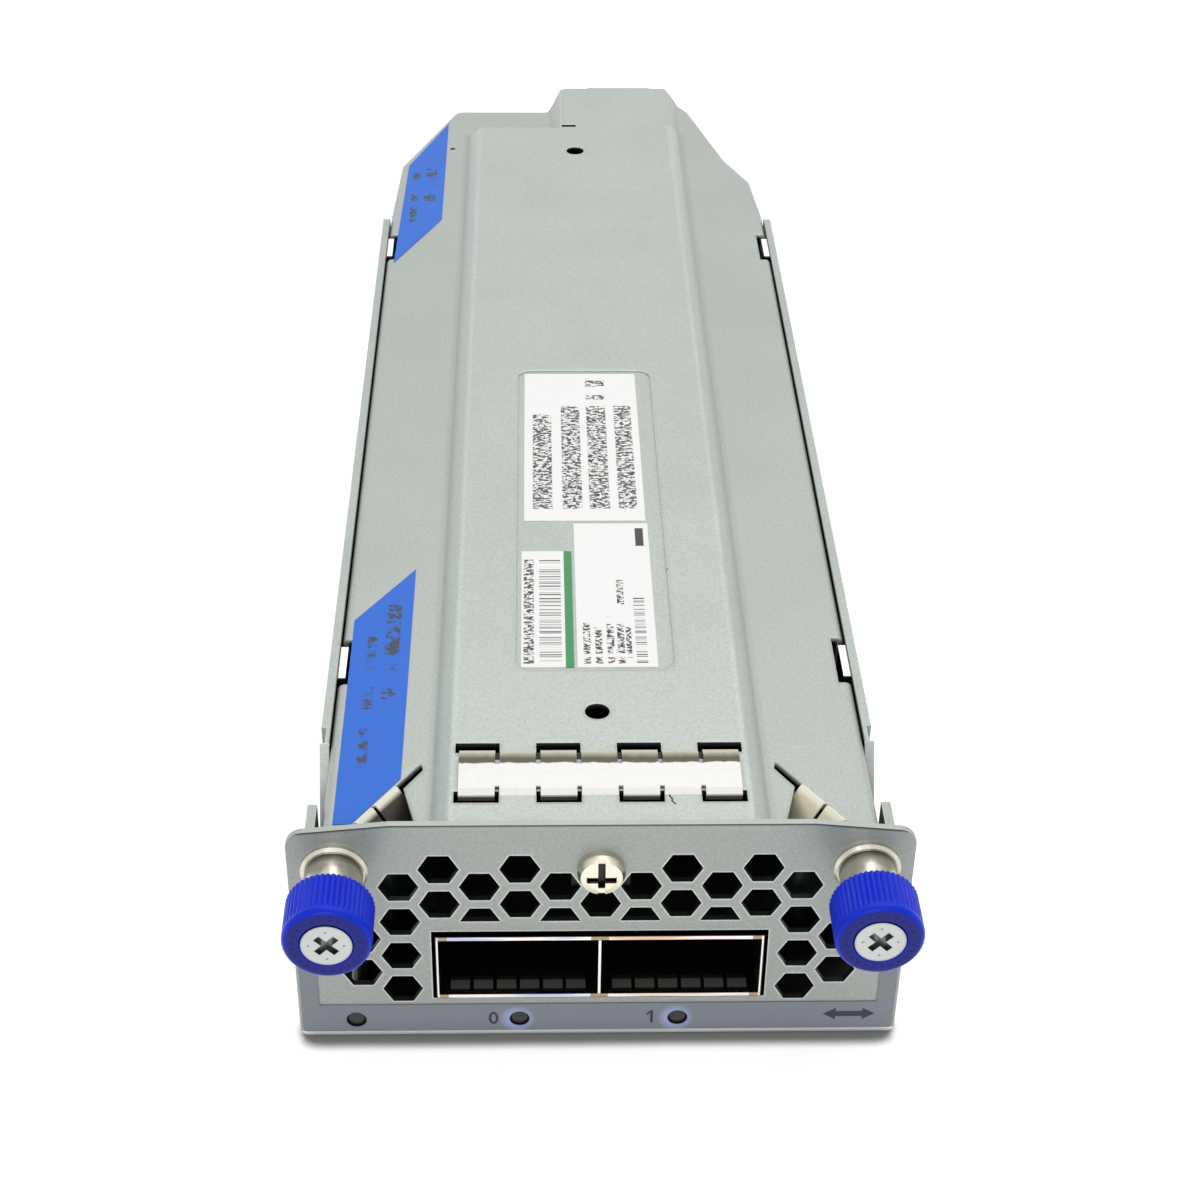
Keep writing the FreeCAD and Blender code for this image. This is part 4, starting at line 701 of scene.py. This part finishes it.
# Rows, codes, blocks and stripes are given by their x and by their y behind the plate, in millimetres.
warning_film = label_surface("warning_label", rows=[
    ((-7.7, -5.0), (66.3, 92.5)), ((-3.6, -0.9), (66.3, 95.5)), ((0.1, 2.9), (66.6, 102.5)),
    ((4.1, 6.6), (66.3, 95.0)),
])
rating_film = label_surface("rating_label", rows=[
    ((-1.4, -0.5), (31.8, 41.0)), ((0.1, 1.0), (31.8, 39.5)), ((1.6, 2.5), (31.8, 42.0)), ((2.9, 3.8), (31.8, 42.5)),
    ((3.1, 4.0), (44.5, 50.0)), ((4.0, 4.7), (33.0, 39.5)),
], codes=[((5.2, 6.6), (31.8, 46.5))], blocks=[((6.0, 7.1), (58.0, 62.3))])
serial_film = label_surface("serial_label", rows=[((-8.9, -7.6), (31.8, 54.8))],
                            codes=[((-6.9, -4.1), (32.2, 54.8))],
                            stripes=[((-3.65, -2.4), (30.0, 58.0), LABEL_GREEN)])
front_blue = sticker_surface("front_sticker", [((-26.4, -24.6), (27.0, 47.0)), ((-28.6, -27.4), (14.0, 40.0))])
rear_blue = sticker_surface("rear_sticker", [((-26.6, -24.6), (168.0, 184.0)), ((-28.8, -27.6), (160.0, 180.0))])
nickel = plated_metal("nickel", linear(228, 222, 208), 0.2)
black_plastic = plain_plastic("connector", linear(28, 28, 30), 0.5)
board_mask = plain_plastic("board", linear(12, 46, 30), 0.35)
lens = plain_plastic("light_pipe", linear(34, 36, 33), 0.2, depth_mm=0.002)
chip_black = plain_plastic("chip", linear(34, 34, 36), 0.55)
heatsink_metal = plated_metal("heatsink", linear(190, 192, 194), 0.35)
pad = plain_plastic("thermal_pad", linear(150, 170, 185), 0.7)
ferrite = plain_plastic("ferrite", linear(60, 60, 62), 0.6)
die_cast = plated_metal("die_cast", linear(165, 165, 160), 0.45)

for name, surface in {
    "top_cover": cover_metal, "base_tray": tray_metal, "face_plate": plate_metal, "face_film": film,
    "port_cage": cage_metal, "gasket_strip": gasket_metal,
    "warning_label": warning_film, "rating_label": rating_film, "serial_label": serial_film,
    "front_sticker": front_blue, "rear_sticker": rear_blue, "port_socket_left": black_plastic,
    "port_socket_right": black_plastic, "backplane_connector": black_plastic, "main_board": board_mask,
    "board_pillars": nickel, "board_screws": nickel, "encryption_processor": chip_black,
    "memory_chips": chip_black, "thermal_pad": pad, "processor_heatsink": heatsink_metal,
    "power_chokes": ferrite, "capacitors": heatsink_metal, "oscillator": heatsink_metal,
    "guide_socket": die_cast, "middle_screw": pan_metal, "light_pipe_status": lens,
    "light_pipe_port_0": lens, "light_pipe_port_1": lens,
}.items():
    dress(name, surface)
for side in ("left", "right"):
    dress(f"corner_clip_{side}", clip_metal[side])
    dress(f"thumbscrew_collar_{side}", collar_nickel)
    dress(f"thumbscrew_screw_{side}", screw_metal[side])
    dress(f"thumbscrew_washer_{side}", nickel)
    dress(f"thumbscrew_spring_{side}", nickel)
    dress(f"thumbscrew_knob_{side}", knob_blue)


# Pieces made here


def finished(name, shape, surface, body, place=(0, 0, 0), smooth=True):
    """Turn a bmesh into a piece that rides on a body."""
    bmesh.ops.remove_doubles(shape, verts=shape.verts, dist=1e-7)
    bmesh.ops.recalc_face_normals(shape, faces=shape.faces)
    mesh = bpy.data.meshes.new(name)
    shape.to_mesh(mesh)
    shape.free()
    mesh.materials.append(surface.material)
    made = bpy.data.objects.new(name, mesh)
    made.location = place
    bpy.context.scene.collection.objects.link(made)
    if smooth:
        mesh.shade_smooth()
        mesh.set_sharp_from_angle(angle=math.radians(35))
    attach(made, body)
    return made


def lathe(loop, segments, swell=None):
    """Turn a closed loop of radius and depth points, in millimetres, about the Y axis."""
    shape = bmesh.new()
    rings = []
    for step in range(segments):
        angle = 2 * math.pi * step / segments
        ring = []
        for radius, depth in loop:
            reach = (radius + (swell(angle, radius, depth) if swell else 0)) * MM
            ring.append(shape.verts.new((reach * math.sin(angle), depth * MM, reach * math.cos(angle))))
        rings.append(ring)
    for step, ring in enumerate(rings):
        ahead = rings[(step + 1) % segments]
        for i in range(len(loop)):
            j = (i + 1) % len(loop)
            if loop[i][0] or loop[j][0]:
                shape.faces.new((ring[i], ring[j], ahead[j], ahead[i]))
    return shape


KNOB_LOW, KNOB_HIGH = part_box("thumbscrew_knob_left")
KNOB_R = (KNOB_HIGH.x - KNOB_LOW.x) / 2 / MM
KNOB_FRONT = (KNOB_LOW.y - FACE_Y) / MM
KNOB_BACK = (KNOB_HIGH.y - FACE_Y) / MM
RIBS = 48
RIB_DEEP = 0.2
RIB_END = 1.25
RIB_FADE = 0.4
RIB_SHARPNESS = 1.6
RIM_STEPS = 8
SIDE_STEPS = 10
FRONT_CHAMFER = 0.12
KNOB_ROUND = 0.85
HEAD_GAP_R = 2.97
HEAD_SEAT = 1.02
SHANK_R = 1.2
HOLLOW_R = 3.41
KNOB_WALL = 1.4


def knob():
    """The knurled knob: raised ribs that stop short of a smooth rounded front rim."""
    ribbed_from = KNOB_FRONT + RIB_END - RIB_FADE

    def swell(angle, radius, depth):
        if radius < KNOB_R - 0.3 or depth < ribbed_from:
            return 0
        fade = min(1.0, (depth - ribbed_from) / RIB_FADE)
        wave = 0.5 - 0.5 * math.cos(RIBS * angle)
        return -RIB_DEEP * fade * wave ** RIB_SHARPNESS

    rim = []
    for step in range(RIM_STEPS + 1):
        turn = math.radians(90 * step / RIM_STEPS)
        rim.append((KNOB_R - KNOB_ROUND * (1 - math.cos(turn)), KNOB_FRONT + KNOB_ROUND * (1 - math.sin(turn))))
    ribbed_to = KNOB_BACK - 0.35
    side = [(KNOB_R, ribbed_to + (ribbed_from - ribbed_to) * i / SIDE_STEPS) for i in range(SIDE_STEPS)]
    side += [(KNOB_R, ribbed_from + offset) for offset in (0.2, 0.1, 0.0)]
    loop = [(SHANK_R, KNOB_FRONT + HEAD_SEAT), (SHANK_R, KNOB_FRONT + KNOB_WALL), (HOLLOW_R, KNOB_FRONT + KNOB_WALL),
            (HOLLOW_R, KNOB_BACK), (KNOB_R - 0.5, KNOB_BACK), (KNOB_R - 0.2, KNOB_BACK - 0.08)]
    loop += side + rim
    loop += [(HEAD_GAP_R + FRONT_CHAMFER, KNOB_FRONT), (HEAD_GAP_R, KNOB_FRONT + FRONT_CHAMFER),
             (HEAD_GAP_R, KNOB_FRONT + HEAD_SEAT)]
    return lathe(loop, RIBS * 8, swell)


def knobs():
    """Ribbed knobs that stand for the plain ones."""
    for side, axis in (("left", AXIS_LEFT), ("right", AXIS_RIGHT)):
        made = finished(f"ribbed_knob_{side}", knob(), knob_blue, f"thumbscrew_{side}",
                        (axis.x, FACE_Y, axis.z))
        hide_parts(f"thumbscrew_knob_{side}")


SPRING_TURNS = 9
SPRING_STEPS = 30
WIRE_SIDES = 10
WIRE_R = 0.16
SPRING_OUTER_R = 2.02


def spring(length):
    """A coil of round wire from 0 back to a length, in millimetres, closed at its ends."""
    shape = bmesh.new()
    count = SPRING_TURNS * SPRING_STEPS + 1
    rings = []
    for step in range(count):
        turn = 2 * math.pi * step / SPRING_STEPS
        depth = WIRE_R + (length - 2 * WIRE_R) * step / (count - 1)
        ring = []
        for side in range(WIRE_SIDES):
            round_wire = 2 * math.pi * side / WIRE_SIDES
            reach = SPRING_OUTER_R - WIRE_R + WIRE_R * math.cos(round_wire)
            ring.append(shape.verts.new((reach * math.sin(turn) * MM, (depth + WIRE_R * math.sin(round_wire)) * MM,
                                         reach * math.cos(turn) * MM)))
        rings.append(ring)
    for ring, ahead in zip(rings, rings[1:]):
        for i in range(WIRE_SIDES):
            j = (i + 1) % WIRE_SIDES
            shape.faces.new((ring[i], ring[j], ahead[j], ahead[i]))
    shape.faces.new(rings[0])
    shape.faces.new(rings[-1])
    return shape


def springs():
    """Coil springs that stand for the plain ones, each with a mesh of its own."""
    for side, axis in (("left", AXIS_LEFT), ("right", AXIS_RIGHT)):
        node = f"thumbscrew_spring_{side}"
        low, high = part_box(node)
        made = finished(f"coil_spring_{side}", spring((high.y - low.y) / MM), nickel, "root",
                        (axis.x, low.y, axis.z))
        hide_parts(node)
        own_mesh(made)


# Radius and depth of the lens, from the middle of its dome round to its flat back, in millimetres
LENS_LOOP = [(0, -0.16), (0.4, -0.13), (0.75, -0.04), (0.95, 0.06), (1.08, 0.15), (0, 0.15)]
LENS_SIDES = 40


def lenses():
    """Domed light lenses, seated on the front ends of the light pipes."""
    for name in ("status", "port_0", "port_1"):
        finished(f"light_lens_{name}", lathe(LENS_LOOP, LENS_SIDES), lens, "root", light_place(name))


FILM_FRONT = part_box("face_film")[0].y
INK_THICK = 0.02 * MM


def flat_shape(outline, hole=None):
    """A thin flat print on the film, from x and z points in millimetres."""
    shape = bmesh.new()
    fronts = []
    for depth in (-INK_THICK, 0.0):
        rows = [[shape.verts.new((x * MM, depth, z * MM)) for x, z in points] for points in (outline, hole) if points]
        fronts.append(rows)
        if hole:
            for i in range(len(outline)):
                j = (i + 1) % len(outline)
                shape.faces.new((rows[0][i], rows[0][j], rows[1][j], rows[1][i]))
        else:
            shape.faces.new(rows[0])
    for front, back in zip(*fronts):
        for i in range(len(front)):
            j = (i + 1) % len(front)
            shape.faces.new((front[i], front[j], back[j], back[i]))
    return shape


def oval(half_wide, half_high, count=36):
    """Points round an ellipse."""
    turns = [2 * math.pi * i / count for i in range(count)]
    return [(half_wide * math.sin(turn), half_high * math.cos(turn)) for turn in turns]


ZERO_PLACE = (-12.55, 3.3)
ONE_PLACE = (6.35, 3.35)
ARROW_PLACE = (30.0, 3.6)
FIGURE_HIGH = 2.0
FIGURE_HALF = 0.58
FIGURE_PEN = 0.32
# The flag of the figure 1: how far it reaches left, and how far its points lie below the top
FLAG_REACH = 0.62
FLAG_TOP = 0.45
FLAG_LOW = 0.75
FLAG_JOIN = 0.42
ARROW_HALF = 3.1
ARROW_HEAD = 1.5
ARROW_TALL = 0.95
ARROW_PEN = 0.42


def prints():
    """The port figures and a plain double arrow, printed on the film."""
    ink = plain_plastic("print_ink", FILM_PRINT, 0.5, depth_mm=0.002)

    def printed(name, shape, place):
        finished(name, shape, ink, "root", (place[0] * MM, FILM_FRONT, place[1] * MM), smooth=False)

    high = FIGURE_HIGH / 2
    hole = oval(FIGURE_HALF - FIGURE_PEN, high - FIGURE_PEN)
    printed("figure_0", flat_shape(oval(FIGURE_HALF, high), hole), ZERO_PLACE)
    pen = FIGURE_PEN / 2
    printed("figure_1", flat_shape([
        (-pen, -high), (pen, -high), (pen, high), (-pen, high), (-FLAG_REACH, high - FLAG_TOP),
        (-FLAG_REACH, high - FLAG_LOW), (-pen, high - FLAG_JOIN),
    ]), ONE_PLACE)
    inner = ARROW_HALF - ARROW_HEAD
    printed("double_arrow", flat_shape([
        (-ARROW_HALF, 0), (-inner, -ARROW_TALL), (-inner, -ARROW_PEN), (inner, -ARROW_PEN), (inner, -ARROW_TALL),
        (ARROW_HALF, 0), (inner, ARROW_TALL), (inner, ARROW_PEN), (-inner, ARROW_PEN), (-inner, ARROW_TALL),
    ]), ARROW_PLACE)


knobs()
springs()
lenses()
prints()


# Stage: a pale floor that shows white, soft lights and the camera at the photograph's angle


def seen(tree):
    """1 for the rays that show the background, in the camera, in a reflection or through something clear."""
    path = tree.nodes.new("ShaderNodeLightPath")
    result = path.outputs["Is Camera Ray"]
    for kind in ("Is Glossy Ray", "Is Transmission Ray"):
        either = tree.nodes.new("ShaderNodeMath")
        either.operation = "MAXIMUM"
        tree.links.new(result, either.inputs[0])
        tree.links.new(path.outputs[kind], either.inputs[1])
        result = either.outputs[0]
    return result


FLOOR_HALF = 4.0
# The floor's glow and paper next to the object and in the open, and how far the contact shadow reaches
GLOW = (0.03, 0.56)
PAPER = (0.2, 0.8)
CONTACT_REACH = 3.2 * MM
# The share of open sky at which the contact shadow is full, and at which it ends
CONTACT_SHARE = (0.66, 0.9)


def floor():
    """A pale floor that looks white in the picture and keeps the object's soft shadow."""
    mesh = bpy.data.meshes.new("floor")
    corners = [(x * FLOOR_HALF, y * FLOOR_HALF, 0) for x, y in ((-1, -1), (1, -1), (1, 1), (-1, 1))]
    mesh.from_pydata(corners, [], [(0, 1, 2, 3)])
    made = bpy.data.objects.new("floor", mesh)
    bpy.context.scene.collection.objects.link(made)
    material = bpy.data.materials.new("floor")
    material.use_nodes = True
    tree = material.node_tree
    tree.nodes.clear()
    output = tree.nodes.new("ShaderNodeOutputMaterial")
    paper = tree.nodes.new("ShaderNodeBsdfDiffuse")
    glow = tree.nodes.new("ShaderNodeEmission")
    both = tree.nodes.new("ShaderNodeAddShader")
    pick = tree.nodes.new("ShaderNodeMixShader")
    near = tree.nodes.new("ShaderNodeAmbientOcclusion")
    near.samples = 16
    near.inputs["Distance"].default_value = CONTACT_REACH
    near.inputs["Color"].default_value = (1, 1, 1, 1)
    for levels, target in ((GLOW, glow.inputs["Strength"]), (PAPER, paper.inputs["Color"])):
        held = tree.nodes.new("ShaderNodeMapRange")
        tree.links.new(near.outputs["AO"], held.inputs["Value"])
        for name, number in zip(("From Min", "From Max", "To Min", "To Max"), CONTACT_SHARE + levels):
            held.inputs[name].default_value = number
        tree.links.new(held.outputs[0], target)
    tree.links.new(paper.outputs[0], both.inputs[0])
    tree.links.new(glow.outputs[0], both.inputs[1])
    tree.links.new(seen(tree), pick.inputs[0])
    tree.links.new(paper.outputs[0], pick.inputs[1])
    tree.links.new(both.outputs[0], pick.inputs[2])
    tree.links.new(pick.outputs[0], output.inputs["Surface"])
    mesh.materials.append(material)


def lamp(name, place, target, size, power):
    """An area lamp that faces a target."""
    data = bpy.data.lights.new(name, "AREA")
    data.shape = "RECTANGLE"
    data.size, data.size_y = size
    data.energy = power
    made = bpy.data.objects.new(name, data)
    made.location = place
    made.rotation_euler = (Vector(target) - Vector(place)).to_track_quat("-Z", "Y").to_euler()
    bpy.context.scene.collection.objects.link(made)


WORLD_LIGHT = 0.55


def lights():
    """Two soft lamps and a plain world, which is white where it is seen."""
    lamp("soft_top", place=(0.12, 0.25, 0.88), target=(0, 0, 0), size=(0.9, 0.9), power=3.6)
    lamp("soft_front", place=(-0.1, -0.8, 0.45), target=(0, -0.08, 0.02), size=(0.5, 0.35), power=1.4)
    world = bpy.data.worlds.new("studio")
    bpy.context.scene.world = world
    world.use_nodes = True
    background = world.node_tree.nodes["Background"]
    background.inputs["Color"].default_value = (1, 1, 1, 1)
    strength = world.node_tree.nodes.new("ShaderNodeMapRange")
    strength.inputs["To Min"].default_value = WORLD_LIGHT
    strength.inputs["To Max"].default_value = 1.0
    world.node_tree.links.new(seen(world.node_tree), strength.inputs["Value"])
    world.node_tree.links.new(strength.outputs[0], background.inputs["Strength"])


# The camera was solved from the photograph, in millimetres from the middle of the plate's foot.
SENSOR_WIDTH = 36.0
PHOTO_SIDE = 1200.0
FOCAL_PIXELS = 2243.8
MIDDLE_PIXEL = (587.32, 605.22)
CAMERA_MM = (-7.416, -190.814, 198.655)
CAMERA_RIGHT = Vector((0.999725, -0.020835, 0.010741))
CAMERA_DOWN = Vector((-0.003268, -0.577596, -0.816316))
CAMERA_AHEAD = Vector((0.023212, 0.816057, -0.577506))


def camera():
    """The camera at the photograph's place, with its lens and shift."""
    data = bpy.data.cameras.new("camera")
    data.sensor_width = SENSOR_WIDTH
    data.lens = SENSOR_WIDTH * FOCAL_PIXELS / PHOTO_SIDE
    data.shift_x = (PHOTO_SIDE / 2 - MIDDLE_PIXEL[0]) / PHOTO_SIDE
    data.shift_y = (MIDDLE_PIXEL[1] - PHOTO_SIDE / 2) / PHOTO_SIDE
    data.clip_start = 0.01
    made = bpy.data.objects.new("camera", data)
    turn = Matrix((CAMERA_RIGHT, -CAMERA_DOWN, -CAMERA_AHEAD)).transposed().to_4x4()
    place = Vector((CAMERA_MM[0] * MM, from_face(CAMERA_MM[1]), CAMERA_MM[2] * MM))
    made.matrix_world = Matrix.Translation(place) @ turn
    bpy.context.scene.collection.objects.link(made)
    bpy.context.scene.camera = made


floor()
lights()
camera()
bpy.context.scene.view_settings.view_transform = "Standard"
